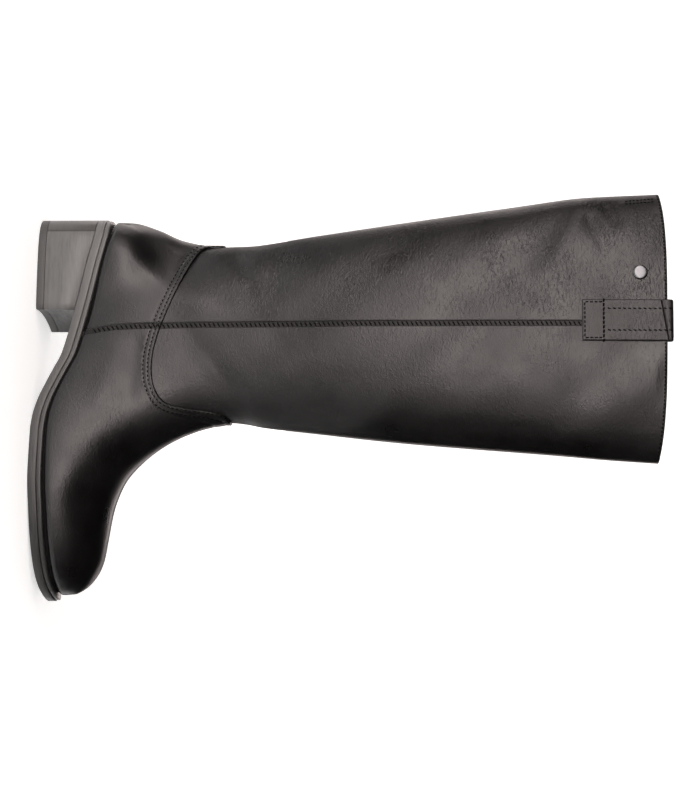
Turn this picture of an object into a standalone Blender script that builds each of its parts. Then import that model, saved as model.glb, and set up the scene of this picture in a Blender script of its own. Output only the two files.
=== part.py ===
"""Tall leather boot for the right foot, standing on its sole.

The tables are in millimetres. x runs from the back of the heel towards the toe, y from the
middle of the heel towards the inner side of the foot, and z up from the floor.
"""

import math
from collections import namedtuple

import bmesh
import bpy
import numpy as np
from mathutils import Matrix, Vector
from mathutils.bvhtree import BVHTree

MM = 0.001
BOOT_MIDDLE = 123.6  # x halfway between the back of the collar and the toe of the sole

# Leather thicknesses and the gap between neighbouring pieces
GAP = 0.3
WALL = 2.0
COVER = 1.2  # vamp and counter
LAP = 0.7  # front shaft panel over the back panel at the side seam
LAP_REACH = 0.25  # share of a section over which the lap fades out

# Sole layers
OUTSOLE = 5.6
MIDSOLE = 3.4
INSOLE = 2.2
INSOLE_INSET = 2.4  # insole edge inside the last
SOLE_STATIONS = 36  # places along the side outline of a layer
SOLE_EDGE_TOE = 3.6  # outsole beyond the vamp at the toe
SOLE_EDGE_HEEL = 1.9  # outsole beyond the counter at the heel
MIDSOLE_STEP = 0.7  # midsole edge behind the outsole edge
HEEL_OUTER = 67.5  # x of the heel's front edge on the outer side of the foot
HEEL_INNER = 71.0
HEEL_CORNER = 1.0  # the sole's edge gives way to the breast this far behind it
HEEL_BREAST_HOLLOW = 3.2
HEEL_BREAST_STEPS = 9
HEEL_TIP = 5.6

# Zip on the inner side
ZIP_SLOT = 4.4  # half width
ZIP_MOUTH = 6.8  # half width at the collar
ZIP_MOUTH_START = 400.0
ZIP_TAPE = (0.1, 1.0)  # inner and outer face, from the last
ZIP_COIL = (1.3, 2.4)
ZIP_COIL_HALF = 2.7
ZIP_COIL_TOP = 426.0
ZIP_COIL_FOOT = 2.0  # start of the coil above the lower end of the tape
ZIP_SECTION = 8  # the zip ends above this section of the last
ZIP_STEPS = 30  # places along the outline of the tape, its slot and the coil
ZIP_SLIDER_Z = 434.0
SLIDER_HALF_LENGTH = 6.0
SLIDER_TOP = 4.2  # half widths of the slider's plate at its top, shoulder and foot
SLIDER_SHOULDER = 5.0
SLIDER_FOOT = 3.5
SLIDER_SHOULDER_Z = 3.4  # from the middle of the slider
SLIDER_BASE = 2.6
SLIDER_ARCH = 2.9  # clear height under the bridge
SLIDER_ARCH_WALL = 1.3
SLIDER_ARCH_HALF = 1.0
SLIDER_ARCH_LEGS = (3.2, 4.6)  # inner and outer face, from the middle of the slider
SLIDER_ARCH_LEAN = 0.5  # the inner face of a leg leans in by this at the top
PULL_LENGTH = 16.0
PULL_HALF = 3.2
PULL_CORNER = 1.5
PULL_THICK = 1.4
PULL_BAR = 0.75  # half height of the bar under the bridge
PULL_WINDOW = (1.7, 6.6)  # half width, lower end
PULL_HOLE = (1.3, 11.4, 13.8)  # half width, upper end, lower end

# Gusset behind the zip
GUSSET = (0.2, 1.5)  # inner and outer face, from the last

# Pull strap and stud on the outer side
STRAP_WIDTH = 29.0
STRAP_THICK = 1.6
STRAP_FOOT = 379.5
STRAP_INSIDE = 394.0
STRAP_TURN = 440.2  # height of the middle of the fold over the collar
STRAP_FOLD = 5.0  # the strap leaves the wall this far below the fold
STRAP_MIDDLE = 75.9
STRAP_COLUMNS = 2
STRAP_WALL_ROWS = 7
STRAP_FOLD_STEPS = 8
STRAP_INSIDE_ROWS = 5
STRAP_FEELERS = 7  # places across the strap where the wall behind it is measured
STUD_PLACE = (42.0, 420.0)
STUD_RADIUS = 5.25
STUD_DOME = 2.6
STUD_RIM = 0.9
STUD_STEPS = 5
STUD_SIDES = 20

# One row for each section of the last, from the toe over the heel to the collar. A section runs
# from a back point on the sole's edge or the back seam to a front point on the instep or shin.
# widest is the share of the way where it is fullest.
Section = namedtuple(
    "Section",
    "back_x back_z front_x front_z middle lateral medial edge_lateral edge_medial "
    "widest front_power back_power rows",
)
SECTIONS = [
    Section(261.0, 10.5, 260.2, 26.0, 4.0, 0.0, 0.0, 0.0, 0.0, 0.30, 2.2, 2.0, 1),
    Section(259.9, 10.8, 258.4, 29.6, 4.0, 7.9, 7.7, 7.3, 7.1, 0.30, 2.2, 2.0, 1),
    Section(255.5, 10.0, 253.2, 35.8, 4.0, 15.8, 15.4, 14.4, 14.0, 0.30, 2.2, 2.0, 2),
    Section(245.5, 8.4, 240.8, 43.0, 4.0, 25.8, 25.0, 24.2, 23.4, 0.17, 2.2, 2.0, 2),
    Section(228.8, 7.0, 223.5, 46.4, 3.6, 34.8, 33.6, 33.0, 31.8, 0.15, 2.1, 2.0, 1),
    Section(209.9, 6.1, 203.8, 49.8, 2.6, 39.8, 38.2, 37.8, 36.2, 0.14, 2.0, 2.0, 2),
    Section(187.8, 5.3, 183.0, 57.8, 1.5, 41.8, 39.8, 39.6, 37.4, 0.14, 1.95, 2.0, 2),
    Section(163.9, 5.0, 166.8, 72.0, 1.0, 39.8, 36.2, 36.4, 32.0, 0.15, 1.9, 2.0, 2),
    Section(140.5, 7.0, 154.9, 88.4, 0.6, 35.6, 32.2, 31.0, 26.6, 0.18, 1.9, 2.0, 2),
    Section(115.4, 16.5, 147.1, 104.5, 0.3, 31.6, 30.0, 27.0, 24.6, 0.24, 2.0, 2.0, 2),
    Section(87.6, 28.0, 142.3, 120.3, 0.0, 29.6, 29.2, 26.0, 25.2, 0.30, 2.1, 2.0, 2),
    Section(57.7, 35.5, 140.4, 135.2, 0.0, 29.0, 29.0, 26.4, 26.2, 0.34, 2.2, 2.0, 2),
    Section(30.2, 41.5, 141.3, 144.8, 0.0, 29.0, 29.0, 25.6, 25.6, 0.37, 2.2, 2.0, 2),
    Section(11.9, 45.0, 142.5, 151.4, 0.0, 29.0, 29.0, 21.6, 21.6, 0.40, 2.2, 1.95, 1),
    Section(5.2, 45.2, 143.2, 154.4, 0.0, 29.0, 29.0, 14.6, 14.6, 0.40, 2.2, 2.05, 1),
    Section(1.9, 45.0, 143.7, 156.9, 0.0, 29.1, 29.1, 0.0, 0.0, 0.40, 2.2, 2.6, 1),
    Section(1.6, 61.4, 145.1, 167.0, 0.0, 29.0, 29.0, 0.0, 0.0, 0.42, 2.2, 1.55, 1),
    Section(6.3, 78.8, 146.5, 179.6, 0.0, 28.4, 28.4, 0.0, 0.0, 0.44, 2.2, 1.45, 1),
    Section(14.8, 98.2, 148.0, 193.3, 0.0, 28.0, 28.0, 0.0, 0.0, 0.46, 2.2, 1.55, 1),
    Section(18.2, 117.7, 149.6, 207.4, 0.0, 28.2, 28.2, 0.0, 0.0, 0.47, 2.2, 1.68, 1),
    Section(17.6, 145.4, 151.8, 226.6, 0.0, 29.2, 29.2, 0.0, 0.0, 0.47, 2.2, 1.8, 2),
    Section(10.3, 194.4, 155.2, 259.8, 0.0, 31.2, 31.2, 0.0, 0.0, 0.47, 2.2, 1.9, 3),
    Section(0.9, 257.8, 158.7, 302.2, 0.0, 32.2, 32.2, 0.0, 0.0, 0.47, 2.2, 2.0, 3),
    Section(-10.0, 334.4, 163.6, 364.7, 0.0, 31.8, 31.8, 0.0, 0.0, 0.47, 2.2, 2.1, 2),
    Section(-16.6, 384.5, 166.6, 398.4, 0.0, 30.8, 30.8, 0.0, 0.0, 0.47, 2.2, 2.2, 2),
    Section(-18.9, 435.4, 169.0, 433.7, 0.0, 29.5, 29.5, 0.0, 0.0, 0.47, 2.2, 2.2, 0),
]
HEEL_BACK = 15  # place in the table of the section that closes the sole's opening
LAP_START = 12  # the side seam comes out from under the counter after this section
COVER_TOP = 20  # the vamp and the counter end below this section
COLLAR_BOW = 4.0  # rise of the collar over the straight line from its back to its front
HOLLOW_X, HOLLOW_Z = 36.0, 94.0  # middle of the hollow under the ankle, on both sides
HOLLOW_LONG, HOLLOW_TALL = 32.0, 22.0
HOLLOW_DEPTH = 0.16  # share of the width taken in there

# Columns on each side of a section, from its back to the side seam and from there to its front
BACK_COLUMNS = 5
FRONT_COLUMNS = 6
SEAM_HALF = 0.003
SEAM_SHARES = (0.43, 0.53)  # least and most share of a section behind the side seam

# Edge where the upper meets the sole, seen from the side
FEATHER_X = [-8, 11, 21, 31, 57, 88, 99.5, 109, 119, 131.5, 143.5, 155, 178, 193, 208, 222,
             236, 249, 258, 272]
FEATHER_Z = [50.0, 48.9, 47.1, 44.8, 39.2, 31.4, 27.9, 23.1, 18.2, 13.0, 10.1, 9.2, 9.2, 9.5,
             10.2, 10.7, 11.4, 12.4, 13.8, 19.4]

# Seam of vamp and counter over the shaft, from in front of the instep to behind the heel
COVER_EDGE = [
    (165.0, 139.2), (144.4, 138.8), (141.0, 136.2), (138.3, 133.3), (136.7, 129.0),
    (135.6, 121.5), (133.8, 99.2), (132.1, 91.9), (129.3, 88.1), (124.8, 85.1), (118.7, 82.8),
    (111.0, 81.9), (102.0, 82.2), (92.7, 83.8), (77.3, 88.5), (57.4, 96.4), (35.0, 105.4),
    (25.6, 109.9), (19.0, 114.0), (15.4, 119.5), (14.4, 130.0), (-20.0, 131.0),
]

# Lines up the boot, seen from the side: height, then distance from the heel
SIDE_SEAM_Z = [0, 37, 57, 80, 120, 160]
SIDE_SEAM_X = [88.0, 81.0, 78.0, 76.8, 75.6, 75.5]
ZIP_Z = [0, 30, 46.5, 69.5, 99.5, 130, 160.5, 220, 295, 371, 460]
ZIP_X = [122.5, 108.0, 101.4, 96.0, 93.2, 90.6, 87.8, 84.4, 82.4, 81.8, 81.6]
ZIP_END = 30.0
GUSSET_OUTLINE = [(61.4, 343.5), (60.0, 332.5), (13.7, 456.0), (63.1, 456.0)]

FAR = 90.0  # half width of a cutter that passes right through the boot
INNER_SIDE = 4.0  # y where a cutter for the inner side alone starts
SPLIT_REACH = 2.0  # the cutters of the two sides reach this far past the middle
SPLIT_STEPS = 14
COVER_SPLIT_TOP = 200.0
ABOVE_COVER = 300.0
BED_BEHIND = 12.0  # the cutter for the sole starts this far behind the feather's table
ABOVE = 520.0
BELOW = -20.0
BEHIND = -90.0
AHEAD = 320.0

SHARP_EDGE = math.radians(40.0)
SEAM_MERGE = 0.01  # corners of the last closer than this are one corner
OUTLINE_MERGE = 0.001

PLANES = {
    "plan": Matrix.Identity(4),
    "side": Matrix(((1, 0, 0, 0), (0, 0, -1, 0), (0, 1, 0, 0), (0, 0, 0, 1))),
    "across": Matrix(((0, 0, 1, 0), (1, 0, 0, 0), (0, 1, 0, 0), (0, 0, 0, 1))),
}


def clear_scene():
    for old in list(bpy.data.objects):
        bpy.data.objects.remove(old, do_unlink=True)


def new_collection(name):
    collection = bpy.data.collections.new(name)
    bpy.context.scene.collection.children.link(collection)
    return collection


def new_material(name, colour, roughness, metallic=0.0):
    material = bpy.data.materials.new(name)
    material.use_nodes = True
    shader = material.node_tree.nodes["Principled BSDF"]
    shader.inputs["Base Color"].default_value = (*colour, 1.0)
    shader.inputs["Roughness"].default_value = roughness
    shader.inputs["Metallic"].default_value = metallic
    return material


def place(x, y, z):
    """A point of the tables in the part's own frame, in metres."""
    return Vector(((x - BOOT_MIDDLE) * MM, y * MM, z * MM))


def smooth(knots, values, at):
    """Height at one place of a smooth curve that never overshoots the points it runs through."""
    steps = np.diff(knots)
    rises = np.diff(values) / steps
    slopes = np.concatenate(([rises[0]], np.zeros(len(knots) - 2), [rises[-1]]))
    for i in range(1, len(knots) - 1):
        if rises[i - 1] * rises[i] > 0:
            before = 2 * steps[i] + steps[i - 1]
            after = steps[i] + 2 * steps[i - 1]
            slopes[i] = (before + after) / (before / rises[i - 1] + after / rises[i])
    i = int(np.clip(np.searchsorted(knots, at) - 1, 0, len(steps) - 1))
    s = (at - knots[i]) / steps[i]
    start = (1 + 2 * s) * (1 - s) ** 2 * values[i] + s * (1 - s) ** 2 * steps[i] * slopes[i]
    end = s * s * (3 - 2 * s) * values[i + 1] - s * s * (1 - s) * steps[i] * slopes[i + 1]
    return float(start + end)


def feather(x):
    return smooth(FEATHER_X, FEATHER_Z, x)


def side_seam(z):
    return smooth(SIDE_SEAM_Z, SIDE_SEAM_X, z)


def zip_line(z):
    return smooth(ZIP_Z, ZIP_X, z)


# The last: sections and the surface through them


def section_at(position):
    """Section of the last at a place in the table, between rows too."""
    places = range(len(SECTIONS))
    columns = zip(*SECTIONS)
    return Section(*(smooth(places, column, position) for column in columns))


def row_positions(first, final):
    positions = []
    for index in range(first, final):
        rows = SECTIONS[index].rows
        positions += [index + step / rows for step in range(rows)]
    return positions + [final]


def half_width(section, full, edge, along):
    if along >= section.widest:
        reach = (along - section.widest) / (1 - section.widest)
        return full * max(0.0, 1 - reach**section.front_power) ** (1 / section.front_power)
    reach = (section.widest - along) / section.widest
    swell = max(0.0, 1 - reach**section.back_power) ** (1 / section.back_power)
    return edge + (full - edge) * swell


def seam_share(section):
    """Share of the way along a section where the side seam crosses it."""
    share = (SIDE_SEAM_X[-1] - section.back_x) / max(1.0, section.front_x - section.back_x)
    return min(SEAM_SHARES[1], max(SEAM_SHARES[0], share))


def column_shares(section):
    """Shares of the way along a section, close together at its ends and at the seam."""
    low = seam_share(section) - SEAM_HALF
    high = seam_share(section) + SEAM_HALF
    back = [low * (1 - math.cos(math.pi / 2 * k / BACK_COLUMNS)) for k in range(BACK_COLUMNS + 1)]
    turn = math.pi / 2 / FRONT_COLUMNS
    front = [high + (1 - high) * math.sin(turn * k) for k in range(FRONT_COLUMNS + 1)]
    return back + front


def hollow(x, z):
    """Share of the width that the hollow under the ankle takes in."""
    away = ((x - HOLLOW_X) / HOLLOW_LONG) ** 2 + ((z - HOLLOW_Z) / HOLLOW_TALL) ** 2
    return HOLLOW_DEPTH * math.exp(-away)


def last_point(section, position, along, side):
    if side < 0:
        width = half_width(section, section.lateral, section.edge_lateral, along)
    else:
        width = half_width(section, section.medial, section.edge_medial, along)
    x = section.back_x + (section.front_x - section.back_x) * along
    z = section.back_z + (section.front_z - section.back_z) * along
    width *= 1 - hollow(x, z)
    near_collar = max(0.0, position - (len(SECTIONS) - 2))
    z += COLLAR_BOW * near_collar * (1 - (2 * along - 1) ** 4)
    return place(x, section.middle + side * width, z)


def lap_at(section, position, along, side):
    """Extra thickness of the front panel where it laps over the back panel."""
    grown = min(1.0, max(0.0, position - LAP_START))
    past = (along - seam_share(section)) / LAP_REACH
    if side > 0 or past <= 0:
        return 0.0
    return LAP * grown * max(0.0, 1 - past)


def last_form(first, final):
    """Open surface of the last between two sections, with outward directions and laps."""
    positions = row_positions(first, final)
    per_side = BACK_COLUMNS + FRONT_COLUMNS + 2
    across = 2 * per_side - 1
    form = bmesh.new()
    bmesh.ops.create_grid(form, x_segments=across - 1, y_segments=len(positions) - 1, size=1.0)
    lap = form.verts.layers.float.new("lap")
    outward = form.verts.layers.float_vector.new("outward")
    sections = [section_at(position) for position in positions]
    for vert in form.verts:
        column = round((vert.co.x + 1) / 2 * (across - 1))
        row = round((vert.co.y + 1) / 2 * (len(positions) - 1))
        side = -1 if column < per_side else 1
        along = column_shares(sections[row])[column if side < 0 else across - 1 - column]
        vert[lap] = lap_at(sections[row], positions[row], along, side)
        vert.co = last_point(sections[row], positions[row], along, side)
    bmesh.ops.remove_doubles(form, verts=form.verts, dist=SEAM_MERGE * MM)
    bmesh.ops.triangulate(form, faces=form.faces)
    form.normal_update()
    outermost = min(form.verts, key=lambda vert: vert.co.y)
    if outermost.normal.y > 0:
        bmesh.ops.reverse_faces(form, faces=form.faces)
        form.normal_update()
    for vert in form.verts:
        vert[outward] = vert.normal
    return form


def shell_form(first, final, inner, outer, lapped=False):
    """Closed wall between two distances outside the last."""
    form = last_form(first, final)
    lap = form.verts.layers.float["lap"]
    outward = form.verts.layers.float_vector["outward"]
    inner_verts = list(form.verts)
    grown = bmesh.ops.extrude_face_region(form, geom=list(form.faces), use_keep_orig=True)
    outer_verts = [item for item in grown["geom"] if isinstance(item, bmesh.types.BMVert)]
    for vert in inner_verts:
        vert.co += vert[outward] * inner * MM
    for vert in outer_verts:
        vert.co += vert[outward] * (outer + (vert[lap] if lapped else 0.0)) * MM
    bmesh.ops.recalc_face_normals(form, faces=form.faces)
    return form


def add_form(name, form, collection, material):
    mesh = bpy.data.meshes.new(name)
    form.to_mesh(mesh)
    form.free()
    mesh.shade_smooth()
    mesh.set_sharp_from_angle(angle=SHARP_EDGE)
    piece = bpy.data.objects.new(name, mesh)
    collection.objects.link(piece)
    if material:
        mesh.materials.append(material)
    return piece


# Flat outlines drawn out into solids, and cuts


def prism(name, loops, low, high, plane, collection, material=None, origin=(BOOT_MIDDLE, 0.0)):
    """Solid drawn straight from a flat outline, further loops being holes in it."""
    curve = bpy.data.curves.new(name, "CURVE")
    curve.dimensions = "2D"
    curve.fill_mode = "BOTH"
    curve.extrude = (high - low) / 2 * MM
    for loop in loops:
        spline = curve.splines.new("POLY")
        spline.points.add(len(loop) - 1)
        spline.use_cyclic_u = True
        for point, (a, b) in zip(spline.points, loop):
            point.co = ((a - origin[0]) * MM, (b - origin[1]) * MM, 0.0, 1.0)
    drawn = bpy.data.objects.new(name + "_outline", curve)
    collection.objects.link(drawn)
    drawn_mesh = bpy.data.meshes.new_from_object(
        drawn.evaluated_get(bpy.context.evaluated_depsgraph_get())
    )
    form = bmesh.new()
    form.from_mesh(drawn_mesh)
    bpy.data.objects.remove(drawn, do_unlink=True)
    bmesh.ops.remove_doubles(form, verts=form.verts, dist=OUTLINE_MERGE * MM)
    matrix = PLANES[plane]
    middle = matrix.to_3x3() @ Vector((0.0, 0.0, (low + high) / 2 * MM))
    if plane == "side":
        middle = -middle
    form.transform(Matrix.Translation(middle) @ matrix)
    bmesh.ops.recalc_face_normals(form, faces=form.faces)
    return add_form(name, form, collection, material)


def cutter(name, outline, low, high, plane="side"):
    piece = prism(name, [outline], low, high, plane, cutters)
    piece.hide_render = True
    piece.display_type = "WIRE"
    return piece


def cut(piece, tool, operation="DIFFERENCE"):
    modifier = piece.modifiers.new(tool.name, "BOOLEAN")
    modifier.operation = operation
    modifier.object = tool


def ribbon(line, low, high, half):
    """Outline of a band of a given half width along a line up the boot."""
    levels = np.linspace(low, high, ZIP_STEPS)
    front = []
    back = []
    for z in levels:
        slope = line(z + 1) - line(z)
        reach = half(z) * math.hypot(1, slope)
        front.append((line(z) + reach, z))
        back.append((line(z) - reach, z))
    return front + back[::-1]


def slot_half(z):
    opened = max(0.0, (z - ZIP_MOUTH_START) / (ZIP_SLIDER_Z - ZIP_MOUTH_START))
    return ZIP_SLOT + (ZIP_MOUTH - ZIP_SLOT) * min(1.0, opened)


def beside(line, low, high, shift, far):
    """Outline of everything on one side of a line up the boot."""
    levels = np.linspace(low, high, SPLIT_STEPS)
    return [(line(z) + shift, z) for z in levels] + [(far, high), (far, low)]


# Sole layers


def feather_loop():
    """Lower edge of the last in plan: outer side from toe to heel, then back on the inner side."""
    outer = []
    inner = []
    for position in np.linspace(0, HEEL_BACK, 2 * HEEL_BACK + 1):
        section = section_at(position)
        outer.append((section.back_x, section.middle - section.edge_lateral))
        inner.append((section.back_x, section.middle + section.edge_medial))
    return outer + inner[-2:0:-1]


def widened(loop, margin):
    """Loop moved outwards by a margin that may change with x."""
    moved = []
    for i, (x, y) in enumerate(loop):
        before = loop[i - 1]
        after = loop[(i + 1) % len(loop)]
        along = Vector((after[0] - before[0], after[1] - before[1])).normalized()
        moved.append((x - along.y * margin(x), y + along.x * margin(x)))
    return moved


def sole_margin(x):
    share = min(1.0, max(0.0, x / FEATHER_X[-1]))
    return WALL + GAP + COVER + SOLE_EDGE_HEEL + (SOLE_EDGE_TOE - SOLE_EDGE_HEEL) * share


def layer_outline(below, thick):
    """Side outline of a sole layer that follows the upper's edge, flat where it meets the floor."""
    stations = np.linspace(FEATHER_X[0], FEATHER_X[-1], SOLE_STATIONS)
    top = [(x, max(thick, feather(x) - below)) for x in stations]
    base = [(x, z - thick) for x, z in reversed(top)]
    return top + base


def heel_outline(loop):
    """Plan of the heel: the sole's edge behind the breast, and the hollow breast itself."""
    turn = len(loop) // 2 + 1
    outer = [point for point in loop[:turn] if point[0] < HEEL_OUTER - HEEL_CORNER]
    inner = [point for point in loop[turn:] if point[0] < HEEL_INNER - HEEL_CORNER]
    half = inner[-1][1]
    breast = []
    for share in np.linspace(1, -1, HEEL_BREAST_STEPS):
        x = (HEEL_OUTER + HEEL_INNER) / 2 + share * (HEEL_INNER - HEEL_OUTER) / 2
        breast.append((x - HEEL_BREAST_HOLLOW * (1 - share**2), share * half))
    return outer + inner + breast


def build_sole():
    leather_edge = new_material("sole_edge", (0.035, 0.032, 0.031), 0.5)
    heel_stack = new_material("heel_stack", (0.05, 0.047, 0.045), 0.55)
    board = new_material("insole_board", (0.12, 0.1, 0.085), 0.7)
    under_midsole = MIDSOLE + GAP
    edge = widened(feather_loop(), sole_margin)
    heel_plan = heel_outline(edge)

    outsole = prism("outsole", [edge], BELOW, FAR, "plan", boot, leather_edge)
    cut(outsole, cutter("outsole_side", layer_outline(under_midsole, OUTSOLE), -FAR, FAR), "INTERSECT")

    stepped = widened(feather_loop(), lambda x: sole_margin(x) - MIDSOLE_STEP)
    midsole = prism("midsole", [stepped], BELOW, FAR, "plan", boot, leather_edge)
    cut(midsole, cutter("midsole_side", layer_outline(0.0, MIDSOLE), -FAR, FAR), "INTERSECT")

    inside = widened(feather_loop(), lambda x: -INSOLE_INSET)
    insole = prism("insole", [inside], BELOW, FAR, "plan", boot, board)
    insole_top = -(INSOLE + GAP)
    cut(insole, cutter("insole_side", layer_outline(insole_top, INSOLE), -FAR, FAR), "INTERSECT")

    heel_block = prism("heel_block", [heel_plan], HEEL_TIP + GAP, FAR, "plan", boot, heel_stack)
    heel_top = [(x, z - GAP) for x, z in layer_outline(under_midsole, OUTSOLE)[SOLE_STATIONS:]]
    over_heel = heel_top + [(BEHIND, ABOVE), (AHEAD, ABOVE)]
    cut(heel_block, cutter("heel_seat", over_heel, -FAR, FAR))
    prism("heel_tip", [heel_plan], 0.0, HEEL_TIP, "plan", boot, heel_stack)


def build_upper():
    leather = new_material("smooth_leather", (0.02, 0.019, 0.019), 0.4)
    top = len(SECTIONS) - 1
    upper_form = shell_form(0, top, 0.0, WALL, lapped=True)
    tree = BVHTree.FromBMesh(upper_form)
    upper = add_form("upper", upper_form, boot, leather)

    bed_stations = np.linspace(FEATHER_X[0] - BED_BEHIND, FEATHER_X[-1], SOLE_STATIONS)
    bed_line = [(x, feather(x) + GAP) for x in bed_stations]
    bed = cutter("sole_bed", bed_line + [(AHEAD, BELOW), (BEHIND, BELOW)], -FAR, FAR)
    slot_outline = ribbon(zip_line, ZIP_END, ZIP_Z[-1], slot_half)
    slot = cutter("zip_slot", slot_outline, INNER_SIDE, FAR)
    gusset_slot = cutter("gusset_slot", GUSSET_OUTLINE, INNER_SIDE, FAR)
    for tool in (bed, slot, gusset_slot):
        cut(upper, tool)

    over_cover = COVER_EDGE + [(BEHIND, ABOVE_COVER), (AHEAD, ABOVE_COVER)]
    above = cutter("above_cover", over_cover, -FAR, FAR)
    cover = (WALL + GAP, WALL + GAP + COVER)
    share = GAP / 2
    outer_low, outer_high = SIDE_SEAM_Z[0], SIDE_SEAM_Z[-1]
    inner_low, inner_high = ZIP_Z[0], COVER_SPLIT_TOP
    splits = {
        "vamp": ((side_seam, outer_low, outer_high, share, BEHIND, -FAR, SPLIT_REACH),
                 (zip_line, inner_low, inner_high, share, BEHIND, -SPLIT_REACH, FAR)),
        "counter": ((side_seam, outer_low, outer_high, -share, AHEAD, -FAR, SPLIT_REACH),
                    (zip_line, inner_low, inner_high, -share, AHEAD, -SPLIT_REACH, FAR)),
    }
    for name, sides in splits.items():
        piece = add_form(name, shell_form(0, COVER_TOP, *cover), boot, leather)
        for k, (line, low, high, shift, far, near_y, far_y) in enumerate(sides):
            outline = beside(line, low, high, shift, far)
            cut(piece, cutter(f"{name}_split_{k}", outline, near_y, far_y))
        for tool in (above, bed, slot):
            cut(piece, tool)

    gusset = add_form("gusset", shell_form(COVER_TOP, top, *GUSSET), boot, leather)
    inset = inset_outline(GUSSET_OUTLINE, GAP)
    cut(gusset, cutter("gusset_shape", inset, INNER_SIDE, FAR), "INTERSECT")
    return tree


def inset_outline(outline, distance):
    """Polygon with each side moved inwards."""
    corners = []
    points = [Vector(point) for point in outline]
    middle = sum(points, Vector((0.0, 0.0))) / len(points)
    for i, point in enumerate(points):
        sides = []
        for other in (points[i - 1], points[(i + 1) % len(points)]):
            along = (other - point).normalized()
            across = Vector((-along.y, along.x))
            if across.dot(middle - point) < 0:
                across = -across
            sides.append(across)
        bisector = sides[0] + sides[1]
        corners.append(point + bisector * (distance / (1 + sides[0].dot(sides[1]))))
    return [tuple(corner) for corner in corners]


def build_zip(tree):
    tape_cloth = new_material("zip_tape", (0.012, 0.012, 0.012), 0.8)
    coil_nylon = new_material("zip_coil", (0.02, 0.02, 0.021), 0.45)
    metal = new_material("gunmetal", (0.25, 0.25, 0.26), 0.3, 1.0)
    top = len(SECTIONS) - 1

    tape = add_form("zip_tape", shell_form(ZIP_SECTION, top, *ZIP_TAPE), boot, tape_cloth)
    tape_outline = ribbon(zip_line, ZIP_END + GAP, ZIP_Z[-1], lambda z: slot_half(z) - GAP)
    cut(tape, cutter("tape_shape", tape_outline, INNER_SIDE, FAR), "INTERSECT")

    coil = add_form("zip_coil", shell_form(ZIP_SECTION, top, *ZIP_COIL), boot, coil_nylon)
    coil_foot = ZIP_END + ZIP_COIL_FOOT
    coil_outline = ribbon(zip_line, coil_foot, ZIP_COIL_TOP, lambda z: ZIP_COIL_HALF)
    cut(coil, cutter("coil_shape", coil_outline, INNER_SIDE, FAR), "INTERSECT")

    middle_x = zip_line(ZIP_SLIDER_Z)
    outwards = Vector((0.0, 1.0, 0.0))
    levels = (ZIP_SLIDER_Z - SLIDER_HALF_LENGTH, ZIP_SLIDER_Z)
    wall = max(tree.ray_cast(place(middle_x, 0.0, z), outwards)[0].y / MM for z in levels)
    base_y = wall + ZIP_TAPE[1] + GAP
    base_top = base_y + SLIDER_BASE
    hinge_y = base_top + SLIDER_ARCH / 2
    x0 = middle_x - BOOT_MIDDLE
    z0 = ZIP_SLIDER_Z

    end = SLIDER_HALF_LENGTH
    plate = [(-SLIDER_TOP, end), (SLIDER_TOP, end), (SLIDER_SHOULDER, SLIDER_SHOULDER_Z),
             (SLIDER_FOOT, -end), (-SLIDER_FOOT, -end), (-SLIDER_SHOULDER, SLIDER_SHOULDER_Z)]
    outline = [(x0 + a, z0 + b) for a, b in plate]
    slider = prism("zip_slider", [outline], base_y, base_top, "side", boot, metal, (0.0, 0.0))
    near, far = SLIDER_ARCH_LEGS
    low = base_top - GAP
    under = base_top + SLIDER_ARCH
    over = under + SLIDER_ARCH_WALL
    crown = near - SLIDER_ARCH_LEAN
    arch = [(low, -far), (under, -far), (over, -near), (over, near), (under, far), (low, far),
            (low, near), (under, crown), (under, -crown), (low, -near)]
    outline = [(y, z0 + z) for y, z in arch]
    bridge = prism("slider_bridge", [outline], x0 - SLIDER_ARCH_HALF, x0 + SLIDER_ARCH_HALF,
                   "across", cutters, None, (0.0, 0.0))
    bridge.hide_render = True
    bridge.display_type = "WIRE"
    cut(slider, bridge, "UNION")

    half = PULL_HALF
    foot = half - PULL_CORNER
    corner_z = PULL_CORNER - PULL_LENGTH
    tab = [(-half, PULL_BAR), (half, PULL_BAR), (half, corner_z), (foot, -PULL_LENGTH),
           (-foot, -PULL_LENGTH), (-half, corner_z)]
    window, window_end = PULL_WINDOW
    eye = [(-window, -PULL_BAR), (window, -PULL_BAR), (window, -window_end), (-window, -window_end)]
    hole, hole_top, hole_end = PULL_HOLE
    grip = [(-hole, -hole_top), (hole, -hole_top), (hole, -hole_end), (-hole, -hole_end)]
    pull = prism("zip_pull", [tab, eye, grip], -PULL_THICK / 2, PULL_THICK / 2, "side", boot,
                 metal, (0.0, 0.0))
    pull.location = (x0 * MM, hinge_y * MM, z0 * MM)


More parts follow.
